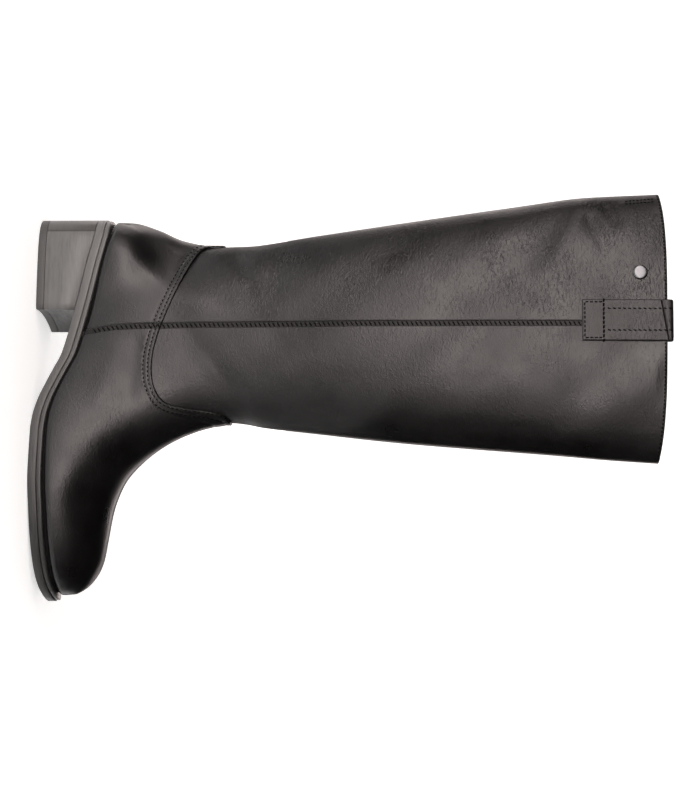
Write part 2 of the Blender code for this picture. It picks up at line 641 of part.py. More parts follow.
def build_strap(tree):
    leather = new_material("strap_leather", (0.022, 0.021, 0.02), 0.45)
    out = Vector((0.0, -1.0, 0.0))

    def strap_x(share):
        return STRAP_MIDDLE + share * STRAP_WIDTH / 2

    def faces(z):
        """Outermost and innermost y of the wall across the strap, seen from outside and inside."""
        outside = []
        inside = []
        for share in np.linspace(-1, 1, STRAP_FEELERS):
            x = strap_x(share)
            outside.append(tree.ray_cast(place(x, -FAR, z), -out)[0].y / MM)
            inside.append(tree.ray_cast(place(x, 0.0, z), out)[0].y / MM)
        return min(outside) - GAP, max(inside) + GAP

    wall_top = STRAP_TURN - STRAP_FOLD
    path = [(faces(z)[0], z) for z in np.linspace(STRAP_FOOT, wall_top, STRAP_WALL_ROWS)]
    outer_y, inner_y = faces(wall_top)
    middle = (outer_y + inner_y) / 2
    radius = (inner_y - outer_y) / 2
    for k in range(STRAP_FOLD_STEPS + 1):
        turn = math.pi * k / STRAP_FOLD_STEPS
        path.append((middle - radius * math.cos(turn), STRAP_TURN + radius * math.sin(turn)))
    path += [(faces(z)[1], z) for z in np.linspace(wall_top, STRAP_INSIDE, STRAP_INSIDE_ROWS)]

    form = bmesh.new()
    bmesh.ops.create_grid(form, x_segments=STRAP_COLUMNS, y_segments=len(path) - 1, size=1.0)
    for vert in form.verts:
        y, z = path[round((vert.co.y + 1) / 2 * (len(path) - 1))]
        vert.co = place(strap_x(vert.co.x), y, z)
    form.normal_update()
    first = min(form.faces, key=lambda face: face.calc_center_median().z + face.normal.y)
    if first.normal.y > 0:
        bmesh.ops.reverse_faces(form, faces=form.faces)
    strap = add_form("pull_strap", form, boot, leather)
    thick = strap.modifiers.new("thickness", "SOLIDIFY")
    thick.thickness = STRAP_THICK * MM
    thick.offset = 1.0
    thick.use_even_offset = True


def build_stud(tree):
    metal = new_material("polished_stud", (0.62, 0.61, 0.6), 0.2, 1.0)
    x, z = STUD_PLACE
    spot, normal, _, _ = tree.ray_cast(place(x, -FAR, z), Vector((0.0, 1.0, 0.0)))
    profile = [(0.0, STUD_RIM + STUD_DOME)]
    for k in range(1, STUD_STEPS + 1):
        turn = math.pi / 2 * k / STUD_STEPS
        profile.append((STUD_RADIUS * math.sin(turn), STUD_RIM + STUD_DOME * math.cos(turn)))
    profile += [(STUD_RADIUS, 0.0), (0.0, 0.0)]
    form = bmesh.new()
    verts = [form.verts.new((r * MM, 0.0, h * MM)) for r, h in profile]
    edges = [form.edges.new(pair) for pair in zip(verts, verts[1:])]
    bmesh.ops.spin(form, geom=verts + edges, axis=(0, 0, 1), cent=(0, 0, 0), steps=STUD_SIDES,
                   angle=2 * math.pi, use_merge=True)
    bmesh.ops.remove_doubles(form, verts=form.verts, dist=OUTLINE_MERGE * MM)
    bmesh.ops.recalc_face_normals(form, faces=form.faces)
    turn = Vector((0.0, 0.0, 1.0)).rotation_difference(normal).to_matrix().to_4x4()
    form.transform(Matrix.Translation(spot + normal * GAP * MM) @ turn)
    add_form("stud", form, boot, metal)


clear_scene()
boot = new_collection("tall_boot")
cutters = new_collection("cutters")
build_sole()
wall_tree = build_upper()
build_zip(wall_tree)
build_strap(wall_tree)
build_stud(wall_tree)
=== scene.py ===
# %% [markdown]
# # A tall leather boot, dressed for its portrait
# The solids of this boot are already made and packed: a hollow upper, its covers, a zip, a strap
# and a sole. This lesson gives them their looks. Each step says what a piece is on a real boot,
# how it could be made in Blender, and why it is made the way it is here.

# %% Load the frame
import math
from collections import namedtuple

import bmesh
import bpy
import numpy as np
from mathutils import Matrix, Vector
from mathutils.bvhtree import BVHTree


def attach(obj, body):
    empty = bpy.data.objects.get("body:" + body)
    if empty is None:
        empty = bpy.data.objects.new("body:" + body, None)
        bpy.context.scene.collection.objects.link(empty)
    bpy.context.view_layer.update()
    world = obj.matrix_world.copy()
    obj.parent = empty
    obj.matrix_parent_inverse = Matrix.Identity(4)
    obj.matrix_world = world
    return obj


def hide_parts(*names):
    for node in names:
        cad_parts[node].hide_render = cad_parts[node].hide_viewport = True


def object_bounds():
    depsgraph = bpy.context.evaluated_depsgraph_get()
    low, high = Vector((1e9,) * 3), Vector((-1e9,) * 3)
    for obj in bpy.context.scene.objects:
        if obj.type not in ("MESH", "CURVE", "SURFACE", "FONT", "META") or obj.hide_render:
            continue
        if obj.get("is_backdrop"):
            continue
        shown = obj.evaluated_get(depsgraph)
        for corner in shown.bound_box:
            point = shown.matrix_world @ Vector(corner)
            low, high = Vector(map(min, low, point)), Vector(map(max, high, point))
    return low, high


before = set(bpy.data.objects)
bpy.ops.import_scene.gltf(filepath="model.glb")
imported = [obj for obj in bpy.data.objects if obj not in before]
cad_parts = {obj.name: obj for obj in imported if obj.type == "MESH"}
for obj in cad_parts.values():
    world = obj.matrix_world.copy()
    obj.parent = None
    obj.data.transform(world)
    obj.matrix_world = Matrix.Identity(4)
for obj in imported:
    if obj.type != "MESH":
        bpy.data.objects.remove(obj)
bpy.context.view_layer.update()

# %% [markdown]
# ## Units
# A boot maker thinks in millimetres, measured from the back of the heel along the foot (x),
# across it towards the inner side (y) and up from the floor (z). The frame is in metres and has
# its origin under the middle of the boot, so two small functions go from one to the other.

# %% From a boot maker's millimetres to the frame
MM = 0.001
BOOT_MIDDLE = 123.6  # x of the frame's origin


def place(x, y, z):
    return Vector(((x - BOOT_MIDDLE) * MM, y * MM, z * MM))


def measures(form):
    """x, y and z of all corners of a form, in the boot maker's millimetres."""
    corners = np.array([vert.co for vert in form.verts]).reshape(-1, 3) / MM
    return corners[:, 0] + BOOT_MIDDLE, corners[:, 1], corners[:, 2]


# %% [markdown]
# ## Camera
# The photograph was taken level with the upper shin, from the outer side of the foot and a little
# from the front, and then turned by a quarter, so that the shaft runs to the right. The camera
# therefore stands upright in the room and is rolled: its right is the boot's up.

# %% Camera at the photograph's angle
YAW = math.radians(10.0)  # how far the camera stands round towards the toe
DISTANCE = 1.65
EYE_HEIGHT = 0.30
IMAGE_HEIGHT = 800
BOOT_PER_PIXEL = 0.000702  # metres of boot for a pixel
SENSOR = 36.0

away = Vector((-math.sin(YAW), math.cos(YAW), 0.0))
eye = place(116.0, 0.0, 0.0) - away * DISTANCE + Vector((0.0, 0.0, EYE_HEIGHT))
aim = Vector((0.0025, 0.0, 0.2185))
look = (aim - eye).normalized()
right = (Vector((0.0, 0.0, 1.0)) - look * look.z).normalized()
up = (-look).cross(right)
lens = bpy.data.cameras.new("photo_view")
lens.sensor_width = SENSOR
lens.lens = SENSOR * DISTANCE / (IMAGE_HEIGHT * BOOT_PER_PIXEL)
camera = bpy.data.objects.new("photo_view", lens)
bpy.context.scene.collection.objects.link(camera)
camera.matrix_world = Matrix((right, up, -look)).transposed().to_4x4()
camera.location = eye
bpy.context.scene.camera = camera
bpy.context.scene.view_settings.view_transform = "Standard"
print("camera lens", round(lens.lens, 1), "mm, eye at", tuple(round(c, 3) for c in eye))

# %% [markdown]
# ## Nodes and colours
# Every finish below is a tree of shader nodes. One function adds a node, sets it and links it, so
# that a finish reads as a list of its steps. Colours are written as the hex values a colour picker
# gives, and one function makes them linear, which is what the shader works in. Many of the finishes
# are two tones that a pattern mottles, so one function makes all of those.

# %% Helpers for finishes


def linear(hex_colour):
    """An sRGB hex value as linear red, green, blue and alpha."""
    channels = [int(hex_colour[i:i + 2], 16) / 255 for i in (1, 3, 5)]
    return (*(c / 12.92 if c <= 0.04045 else ((c + 0.055) / 1.055) ** 2.4 for c in channels), 1.0)


def add(tree, kind, settings=None, links=None):
    """Adds a node to a tree. Settings are its attributes or sockets, links map sockets to outputs."""
    node = tree.nodes.new("ShaderNode" + kind)
    for name, value in (settings or {}).items():
        if isinstance(name, str) and hasattr(node, name):
            setattr(node, name, value)
        else:
            node.inputs[name].default_value = value
    for name, source in (links or {}).items():
        tree.links.new(node.inputs[name], source)
    return node


def finish(name, **sockets):
    """A new material whose Principled shader starts with these values on its own sockets."""
    material = bpy.data.materials.new(name)
    material.use_nodes = True
    shader = material.node_tree.nodes["Principled BSDF"]
    for socket, value in sockets.items():
        shader.inputs[socket.replace("_", " ")].default_value = value
    return material, material.node_tree, shader


def per_mm(size):
    """Scale of a texture on Object coordinates, in metres, whose pattern repeats in this many mm."""
    return 1.0 / (size * MM)


def bands_mm(size, radians):
    """Scale of a Wave texture, which turns by so many radians in a unit, for bands of this many mm."""
    return 2 * math.pi * per_mm(size) / radians


def wire(tree, shader, **sources):
    """Links outputs of nodes to the shader's own sockets."""
    for socket, source in sources.items():
        tree.links.new(shader.inputs[socket.replace("_", " ")], source)


def mottled(name, tones, kind, settings, raised=None, worn=None, **sockets):
    """A finish that runs from a dark to a light tone over a pattern. The pattern may be raised, by a
    strength and a depth in mm, and worn, by the roughness of its dark and its light places."""
    material, tree, shader = finish(name, **sockets)
    spot = add(tree, "TexCoord").outputs["Object"]
    pattern = add(tree, kind, settings, {"Vector": spot}).outputs["Fac"]
    dark, light = (linear(tone) for tone in tones)
    tone = add(tree, "Mix", {"data_type": "RGBA", "A": dark, "B": light}, {"Factor": pattern})
    wire(tree, shader, Base_Color=tone.outputs["Result"])
    if raised:
        strength, depth = raised
        bump = add(tree, "Bump", {"Strength": strength, "Distance": depth * MM}, {"Height": pattern})
        wire(tree, shader, Normal=bump.outputs["Normal"])
    if worn:
        rough = add(tree, "MapRange", {"To Min": worn[0], "To Max": worn[1]}, {"Value": pattern})
        wire(tree, shader, Roughness=rough.outputs["Result"])
    return material


print("helpers: linear, add, finish, per_mm, bands_mm, wire, mottled")

# %% [markdown]
# ## The last
# A boot is lasted: the leather is pulled over a wooden form, the last. Here the last is a short
# table of sections, each a flat slice that starts at the sole's edge or the back seam and ends on
# the instep or shin. A curve through each column of the table gives any slice in between. A scanned
# or sculpted mesh could do the same, but the table keeps every size in sight and matches the solids.

# %% Sections of the last, from the toe over the heel to the collar
Section = namedtuple(
    "Section",
    "back_x back_z front_x front_z middle lateral medial edge_lateral edge_medial "
    "widest front_power back_power",
)
SECTIONS = [
    Section(261.0, 10.5, 260.2, 26.0, 4.0, 0.0, 0.0, 0.0, 0.0, 0.30, 2.2, 2.0),
    Section(259.9, 10.8, 258.4, 29.6, 4.0, 7.9, 7.7, 7.3, 7.1, 0.30, 2.2, 2.0),
    Section(255.5, 10.0, 253.2, 35.8, 4.0, 15.8, 15.4, 14.4, 14.0, 0.30, 2.2, 2.0),
    Section(245.5, 8.4, 240.8, 43.0, 4.0, 25.8, 25.0, 24.2, 23.4, 0.17, 2.2, 2.0),
    Section(228.8, 7.0, 223.5, 46.4, 3.6, 34.8, 33.6, 33.0, 31.8, 0.15, 2.1, 2.0),
    Section(209.9, 6.1, 203.8, 49.8, 2.6, 39.8, 38.2, 37.8, 36.2, 0.14, 2.0, 2.0),
    Section(187.8, 5.3, 183.0, 57.8, 1.5, 41.8, 39.8, 39.6, 37.4, 0.14, 1.95, 2.0),
    Section(163.9, 5.0, 166.8, 72.0, 1.0, 39.8, 36.2, 36.4, 32.0, 0.15, 1.9, 2.0),
    Section(140.5, 7.0, 154.9, 88.4, 0.6, 35.6, 32.2, 31.0, 26.6, 0.18, 1.9, 2.0),
    Section(115.4, 16.5, 147.1, 104.5, 0.3, 31.6, 30.0, 27.0, 24.6, 0.24, 2.0, 2.0),
    Section(87.6, 28.0, 142.3, 120.3, 0.0, 29.6, 29.2, 26.0, 25.2, 0.30, 2.1, 2.0),
    Section(57.7, 35.5, 140.4, 135.2, 0.0, 29.0, 29.0, 26.4, 26.2, 0.34, 2.2, 2.0),
    Section(30.2, 41.5, 141.3, 144.8, 0.0, 29.0, 29.0, 25.6, 25.6, 0.37, 2.2, 2.0),
    Section(11.9, 45.0, 142.5, 151.4, 0.0, 29.0, 29.0, 21.6, 21.6, 0.40, 2.2, 1.95),
    Section(5.2, 45.2, 143.2, 154.4, 0.0, 29.0, 29.0, 14.6, 14.6, 0.40, 2.2, 2.05),
    Section(1.9, 45.0, 143.7, 156.9, 0.0, 29.1, 29.1, 0.0, 0.0, 0.40, 2.2, 2.6),
    Section(1.6, 61.4, 145.1, 167.0, 0.0, 29.0, 29.0, 0.0, 0.0, 0.42, 2.2, 1.55),
    Section(6.3, 78.8, 146.5, 179.6, 0.0, 28.4, 28.4, 0.0, 0.0, 0.44, 2.2, 1.45),
    Section(14.8, 98.2, 148.0, 193.3, 0.0, 28.0, 28.0, 0.0, 0.0, 0.46, 2.2, 1.55),
    Section(18.2, 117.7, 149.6, 207.4, 0.0, 28.2, 28.2, 0.0, 0.0, 0.47, 2.2, 1.68),
    Section(17.6, 145.4, 151.8, 226.6, 0.0, 29.2, 29.2, 0.0, 0.0, 0.47, 2.2, 1.8),
    Section(10.3, 194.4, 155.2, 259.8, 0.0, 31.2, 31.2, 0.0, 0.0, 0.47, 2.2, 1.9),
    Section(0.9, 257.8, 158.7, 302.2, 0.0, 32.2, 32.2, 0.0, 0.0, 0.47, 2.2, 2.0),
    Section(-10.0, 334.4, 163.6, 364.7, 0.0, 31.8, 31.8, 0.0, 0.0, 0.47, 2.2, 2.1),
    Section(-16.6, 384.5, 166.6, 398.4, 0.0, 30.8, 30.8, 0.0, 0.0, 0.47, 2.2, 2.2),
    Section(-18.9, 435.4, 169.0, 433.7, 0.0, 29.5, 29.5, 0.0, 0.0, 0.47, 2.2, 2.2),
]
COLLAR = len(SECTIONS) - 1
COLLAR_BOW = 4.0  # rise of the collar over the straight line from its back to its front
HOLLOW_X, HOLLOW_Z = 36.0, 94.0  # middle of the hollow under the ankle, on both sides
HOLLOW_LONG, HOLLOW_TALL = 32.0, 22.0
HOLLOW_DEPTH = 0.16  # share of the width taken in there


def smooth(knots, values, at):
    """Smooth curve through a short table that never overshoots it, read at one place or many."""
    knots, values, at = (np.asarray(item, float) for item in (knots, values, at))
    steps = np.diff(knots)
    rises = np.diff(values) / steps
    slopes = np.zeros(len(knots))
    slopes[[0, -1]] = rises[[0, -1]]
    for i in range(1, len(knots) - 1):
        if rises[i - 1] * rises[i] > 0:
            before = 2 * steps[i] + steps[i - 1]
            after = steps[i] + 2 * steps[i - 1]
            slopes[i] = (before + after) / (before / rises[i - 1] + after / rises[i])
    i = np.clip(np.searchsorted(knots, at) - 1, 0, len(steps) - 1)
    s = (at - knots[i]) / steps[i]
    start = (1 + 2 * s) * (1 - s) ** 2 * values[i] + s * (1 - s) ** 2 * steps[i] * slopes[i]
    end = s * s * (3 - 2 * s) * values[i + 1] - s * s * (1 - s) * steps[i] * slopes[i + 1]
    return start + end


def half_width(cut, full, edge, along):
    """Half width of a slice at shares of the way along it: round above its fullest place and below."""
    ahead = np.clip((along - cut.widest) / (1 - cut.widest), 0, 1)
    behind = np.clip((cut.widest - along) / cut.widest, 0, 1)
    front = full * (1 - ahead**cut.front_power) ** (1 / cut.front_power)
    swell = (1 - behind**cut.back_power) ** (1 / cut.back_power)
    return np.where(along >= cut.widest, front, edge + (full - edge) * swell)


def hollow(x, z):
    """Share of the width that the hollow under the ankle takes in."""
    away = ((x - HOLLOW_X) / HOLLOW_LONG) ** 2 + ((z - HOLLOW_Z) / HOLLOW_TALL) ** 2
    return HOLLOW_DEPTH * np.exp(-away)


print("last:", len(SECTIONS), "sections")

# %% [markdown]
# ## One skin for all the leather
# Shaft, vamp and counter all lie on the last, so one fine grid is carried onto it once and copied for
# each of them. The grid is an ordinary create_grid: a column runs up one side of the foot, over
# the front and down the other side. A few rounds of smoothing take out the last trace of the
# sections, which polished leather would show as bands.

# %% The skin of the last
SMOOTHING = 4
BROAD_SMOOTHING = 12  # rounds for the broad sides of the shaft and the heel
BROAD_FRONT, BROAD_SIDE = 150.0, 11.0  # the broad sides end at this x, and start this far out


def skin_rows(spacing):
    """Places in the table of sections, about a spacing apart on the boot."""
    places = []
    for i, (low, high) in enumerate(zip(SECTIONS, SECTIONS[1:])):
        back = math.hypot(high.back_x - low.back_x, high.back_z - low.back_z)
        front = math.hypot(high.front_x - low.front_x, high.front_z - low.front_z)
        rows = max(1, round(max(back, front) / spacing))
        places += [i + step / rows for step in range(rows)]
    return np.array(places + [COLLAR])


def ready(form, corner):
    """Turns a sheet so that a corner on the boot's outer side faces outwards. Notes the way outwards at
    every corner, and adds the layers that cutting and the leather's finish use."""
    form.normal_update()
    if corner.normal.y > 0:
        bmesh.ops.reverse_faces(form, faces=form.faces)
        form.normal_update()
    for name in ("field", "wrinkle"):
        form.verts.layers.float.new(name)
    outward = form.verts.layers.float_vector.new("outward")
    for vert in form.verts:
        vert[outward] = vert.normal


def make_skin(columns, spacing):
    """The last as a sheet, with so many columns on each side of the foot."""
    rows = skin_rows(spacing)
    table = np.array(SECTIONS)
    cuts = [smooth(range(len(table)), column, rows) for column in table.T]
    around = np.concatenate((np.arange(columns + 1), np.arange(columns)[::-1]))
    along = (1 - np.cos(np.pi * around / columns)) / 2
    points = []
    for k, row in enumerate(rows):
        cut = Section(*(column[k] for column in cuts))
        outer = -half_width(cut, cut.lateral, cut.edge_lateral, along)
        inner = half_width(cut, cut.medial, cut.edge_medial, along)
        x = cut.back_x + (cut.front_x - cut.back_x) * along
        z = cut.back_z + (cut.front_z - cut.back_z) * along
        width = np.where(np.arange(len(along)) <= columns, outer, inner)
        y = cut.middle + width * (1 - hollow(x, z))
        z += COLLAR_BOW * max(0.0, row - (COLLAR - 1)) * (1 - (2 * along - 1) ** 4)
        points.append(np.stack((x, y, z), 1))
    form = bmesh.new()
    bmesh.ops.create_grid(form, x_segments=2 * columns, y_segments=len(rows) - 1, size=1.0)
    for vert in form.verts:
        column = round((vert.co.x + 1) * columns)
        row = round((vert.co.y + 1) / 2 * (len(rows) - 1))
        vert.co = place(*points[row][column])
    bmesh.ops.remove_doubles(form, verts=form.verts, dist=0.02 * MM)
    inside = [vert for vert in form.verts if not vert.is_boundary]
    front = place(BROAD_FRONT, 0.0, 0.0).x
    broad = [vert for vert in inside if vert.co.x < front and abs(vert.co.y) > BROAD_SIDE * MM]
    for verts, times in ((inside, SMOOTHING), (broad, BROAD_SMOOTHING)):
        for _ in range(times):
            bmesh.ops.smooth_vert(form, verts=verts, factor=0.5, use_axis_x=True, use_axis_y=True,
                                  use_axis_z=True)
    ready(form, min(form.verts, key=lambda vert: vert.co.y))
    return form


skin = make_skin(78, 2.3)
print("skin:", len(skin.verts), "corners")

# %% [markdown]
# ## Lines on the boot
# Seams, slots and edges are drawn on the boot as a pattern maker draws them, seen from the side.
# Each becomes a field: a function that gives, for any corner, how far it lies from the line, in
# millimetres, with a sign for the side of it. Fields are easy to combine, and the same field cuts a
# piece, rounds its edge and places its stitches.

# %% The boot's pattern, seen from the side
FEATHER_X = [-8, 11, 21, 31, 57, 88, 99.5, 109, 119, 131.5, 143.5, 155, 178, 193, 208, 222, 236,
             249, 258, 272]
FEATHER_Z = [50.0, 48.9, 47.1, 44.8, 39.2, 31.4, 27.9, 23.1, 18.2, 13.0, 10.1, 9.2, 9.2, 9.5, 10.2,
             10.7, 11.4, 12.4, 13.8, 19.4]
COVER_EDGE = [
    (165, 139.2), (144.4, 138.8), (141, 136.2), (138.3, 133.3), (136.7, 129), (135.6, 121.5),
    (133.8, 99.2), (132.1, 91.9), (129.3, 88.1), (124.8, 85.1), (118.7, 82.8), (111, 81.9),
    (102, 82.2), (92.7, 83.8), (77.3, 88.5), (57.4, 96.4), (35, 105.4), (26.4, 109.9), (21, 114),
    (19.2, 120), (18.4, 134), (-20, 135),
]
SIDE_SEAM_Z = [0, 37, 57, 80, 120, 160]
SIDE_SEAM_X = [88.0, 81.0, 78.0, 76.8, 75.6, 75.5]
ZIP_Z = [0, 30, 46.5, 69.5, 99.5, 130, 160.5, 220, 295, 371, 460]
ZIP_X = [122.5, 108.0, 101.4, 96.0, 93.2, 90.6, 87.8, 84.4, 82.4, 81.8, 81.6]
ZIP_END = 30.0
ZIP_SLOT, ZIP_MOUTH, ZIP_MOUTH_START, ZIP_SLIDER_Z = 4.4, 6.8, 400.0, 434.0
GUSSET_OUTLINE = [(61.4, 343.5), (60.0, 332.5), (13.7, 456.0), (63.1, 456.0)]
FAR = 90.0  # clear of the boot on either side


def feather(x):
    return smooth(FEATHER_X, FEATHER_Z, x)


def from_seam(x, z):
    """Distance ahead of the side seam."""
    return x - np.where(z < SIDE_SEAM_Z[-1], smooth(SIDE_SEAM_Z, SIDE_SEAM_X, z), SIDE_SEAM_X[-1])


def zip_line(z):
    return smooth(ZIP_Z, ZIP_X, z)


def slot_half(z):
    opened = np.clip((z - ZIP_MOUTH_START) / (ZIP_SLIDER_Z - ZIP_MOUTH_START), 0, 1)
    return ZIP_SLOT + (ZIP_MOUTH - ZIP_SLOT) * opened


def from_zip(x, y, z):
    """Distance outside the zip's slot, which is on the inner side of the foot only."""
    beside = np.abs(x - zip_line(z)) - slot_half(z)
    return np.where(y > 0, np.maximum(beside, ZIP_END - z), FAR)


def rounded(line, times=3):
    """A line of points with its corners cut off again and again, which rounds them."""
    points = np.array(line, float)
    for _ in range(times):
        near = points[:-1] * 0.75 + points[1:] * 0.25
        far = points[:-1] * 0.25 + points[1:] * 0.75
        cut = np.stack((near, far), 1).reshape(-1, 2)
        points = np.concatenate((points[:1], cut, points[-1:]))
    return points


def from_line(points, x, z):
    """Distance to a line of points."""
    best = np.full(np.shape(x), np.inf)
    for (x0, z0), (x1, z1) in zip(points, points[1:]):
        dx, dz = x1 - x0, z1 - z0
        share = np.clip(((x - x0) * dx + (z - z0) * dz) / (dx * dx + dz * dz), 0, 1)
        best = np.minimum(best, np.hypot(x - x0 - share * dx, z - z0 - share * dz))
    return best


def within(points, x, z):
    """Whether places lie inside a polygon, by counting the sides to one side of them."""
    inside = np.zeros(np.shape(x), bool)
    for (x0, z0), (x1, z1) in zip(points, np.roll(points, -1, axis=0)):
        if z0 != z1:
            inside ^= ((z0 > z) != (z1 > z)) & (x < x0 + (z - z0) * (x1 - x0) / (z1 - z0))
    return inside


COVER_LINE = rounded(COVER_EDGE)
FOOT = np.concatenate((COVER_LINE, [(-20, -50), (300, -50), (300, 139.2)]))
GUSSET_LINE = np.array(GUSSET_OUTLINE + GUSSET_OUTLINE[:1])


def from_cover(x, z):
    """Distance above the edge of the foot's cover, negative on the cover."""
    away = from_line(COVER_LINE, x, z)
    return np.where(within(FOOT, x, z), -away, away)


def from_gusset(x, y, z):
    """Distance outside the V of the gusset, which is on the inner side only."""
    away = from_line(GUSSET_LINE, x, z)
    return np.where(y > 0, np.where(within(GUSSET_LINE[:-1], x, z), -away, away), FAR)


print("cover edge:", len(COVER_LINE), "points")

# %% [markdown]
# ## Cutting a piece from the skin
# A shoemaker's knife follows a drawn line, whatever lies under it. A Boolean could do this, but it
# leaves slivers on a fine skin. Here the line is scored instead: corners close to the line slide
# onto it unless an earlier line holds them, other edges that cross it are split there, the new
# corners are joined, and the faces beyond the line are taken off.

# %% Scoring, trimming and thickening
CLOSE = 0.18  # share of an edge within which its end slides onto the line


def score(form, field):
    """Runs a line of edges along the places where a field is zero, and returns the field's layer."""
    kept = form.verts.layers.int.get("kept") or form.verts.layers.int.new("kept")
    mark = form.verts.layers.float["field"]
    bmesh.ops.triangulate(form, faces=[face for face in form.faces if len(face.verts) > 3])
    for vert, value in zip(form.verts, field(*measures(form))):
        vert[mark] = value
    for edge in form.edges:
        for near, far in (tuple(edge.verts), tuple(reversed(edge.verts))):
            if near[mark] * far[mark] < 0:
                share = near[mark] / (near[mark] - far[mark])
                if share < CLOSE and not near[kept]:
                    near.co = near.co.lerp(far.co, share)
                    near[mark] = 0.0
                    near[kept] = 1
    for edge in [edge for edge in form.edges if edge.verts[0][mark] * edge.verts[1][mark] < 0]:
        near, far = edge.verts
        _, vert = bmesh.utils.edge_split(edge, near, near[mark] / (near[mark] - far[mark]))
        vert[mark] = 0.0
        vert[kept] = 1
    bmesh.ops.connect_verts(form, verts=[vert for vert in form.verts if vert[mark] == 0.0])
    return mark


def trim(form, field):
    """Takes off everything on the positive side of a field."""
    mark = score(form, field)
    beyond = [face for face in form.faces if sum(vert[mark] for vert in face.verts) > 0]
    bmesh.ops.delete(form, geom=beyond, context="FACES")


def thicken(form, inner, outer):
    """Makes a sheet a closed wall between two distances from the last, a number for each corner."""
    outward = form.verts.layers.float_vector["outward"]
    lift = form.verts.layers.float["field"]
    for vert, low, high in zip(form.verts, inner, outer):
        vert[lift] = high - low
        vert.co += Vector(vert[outward]) * low * MM
    raised = bmesh.ops.extrude_face_region(form, geom=form.faces[:])["geom"]
    for vert in raised:
        if isinstance(vert, bmesh.types.BMVert):
            vert.co += Vector(vert[outward]) * vert[lift] * MM
    bmesh.ops.recalc_face_normals(form, faces=form.faces)


def set_wrinkle(form, strength):
    """How strongly the leather's wrinkles show: one number, or one for each corner."""
    wrinkle = form.verts.layers.float["wrinkle"]
    for vert, value in zip(form.verts, np.broadcast_to(strength, len(form.verts))):
        vert[wrinkle] = value


def show(name, form, slot, *materials, body="boot", sharp=38.0):
    """Makes a finished form a piece of the boot that moves with a body."""
    mesh = bpy.data.meshes.new(name)
    form.to_mesh(mesh)
    form.free()
    for material in materials:
        mesh.materials.append(material)
    mesh.shade_smooth()
    mesh.set_sharp_from_angle(angle=math.radians(sharp))
    piece = bpy.data.objects.new(name, mesh)
    bpy.context.scene.collection.objects.link(piece)
    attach(piece, body)
    mesh.calc_loop_triangles()
    print(name + ":", len(mesh.loop_triangles), "triangles")
    return piece


print("tools: score, trim, thicken, set_wrinkle, show")

# %% [markdown]
# ## Black calf leather
# The boot is of smooth black calf: full grain, waxed and brushed, so it shines softly and broadly
# and its pores only show close up. The colour of black leather is almost all reflection, so the
# work is in the roughness, which is cloudy where a hand has polished it, and in the bump. Fine
# wrinkles show most on the soft back of the shaft: a noise that is a little longer round the leg
# than up it, let in by an attribute that each piece carries.

# %% Leather
def calf_leather(name, dark, light, rough_low, rough_high):
    """Smooth calf: brushed wax gives a broad soft shine, which pores and wrinkles break up and which
    dulls where the grain is seen from the side."""
    material, tree, shader = finish(name, IOR=1.54)
    spot = add(tree, "TexCoord").outputs["Object"]
    cloud = add(tree, "TexNoise", {"Scale": per_mm(34.0), "Detail": 3.0}, {"Vector": spot})
    tone = add(tree, "ValToRGB", None, {"Fac": cloud.outputs["Fac"]})
    tone.color_ramp.elements[0].position = 0.35
    tone.color_ramp.elements[0].color = linear(dark)
    tone.color_ramp.elements[1].position = 0.68
    tone.color_ramp.elements[1].color = linear(light)
    polish = add(tree, "MapRange", {"From Min": 0.3, "From Max": 0.7, "To Min": rough_low,
                                    "To Max": rough_high}, {"Value": cloud.outputs["Fac"]})
    turned = add(tree, "LayerWeight", {"Blend": 0.5})
    edge = add(tree, "MapRange", {"From Min": 0.7, "From Max": 0.95}, {"Value": turned.outputs["Facing"]})
    rough = add(tree, "Math", {"operation": "MAXIMUM"},
                {0: polish.outputs["Result"], 1: edge.outputs["Result"]})
    pores = add(tree, "TexVoronoi", {"Scale": per_mm(1.3)}, {"Vector": spot})
    pored = add(tree, "Bump", {"Strength": 0.16, "Distance": 0.12 * MM},
                {"Height": pores.outputs["Distance"]})
    stretch = add(tree, "Mapping", {"Scale": (per_mm(3.4), per_mm(3.4), per_mm(2.1)),
                                    "Rotation": (0.0, 0.35, 0.0)}, {"Vector": spot})
    lines = add(tree, "TexNoise", {"Scale": 1.0, "Detail": 3.0, "Distortion": 1.4},
                {"Vector": stretch.outputs["Vector"]})
    patches = add(tree, "TexNoise", {"Scale": per_mm(26.0), "Detail": 1.0}, {"Vector": spot})
    spread = add(tree, "MapRange", {"From Min": 0.38, "From Max": 0.66, "To Min": 0.5},
                 {"Value": patches.outputs["Fac"]})
    soft = add(tree, "Attribute", {"attribute_name": "wrinkle"})
    where = add(tree, "Math", {"operation": "MULTIPLY"},
                {0: spread.outputs["Result"], 1: soft.outputs["Fac"]})
    depth = add(tree, "Math", {"operation": "MULTIPLY"},
                {0: lines.outputs["Fac"], 1: where.outputs["Value"]})
    creased = add(tree, "Bump", {"Strength": 0.8, "Distance": 0.5 * MM},
                  {"Height": depth.outputs["Value"], "Normal": pored.outputs["Normal"]})
    wire(tree, shader, Base_Color=tone.outputs["Color"], Roughness=rough.outputs["Value"],
         Normal=creased.outputs["Normal"])
    return material


black_calf = calf_leather("black_calf", "#060505", "#0b0a0a", 0.26, 0.4)
print("leather:", black_calf.name)
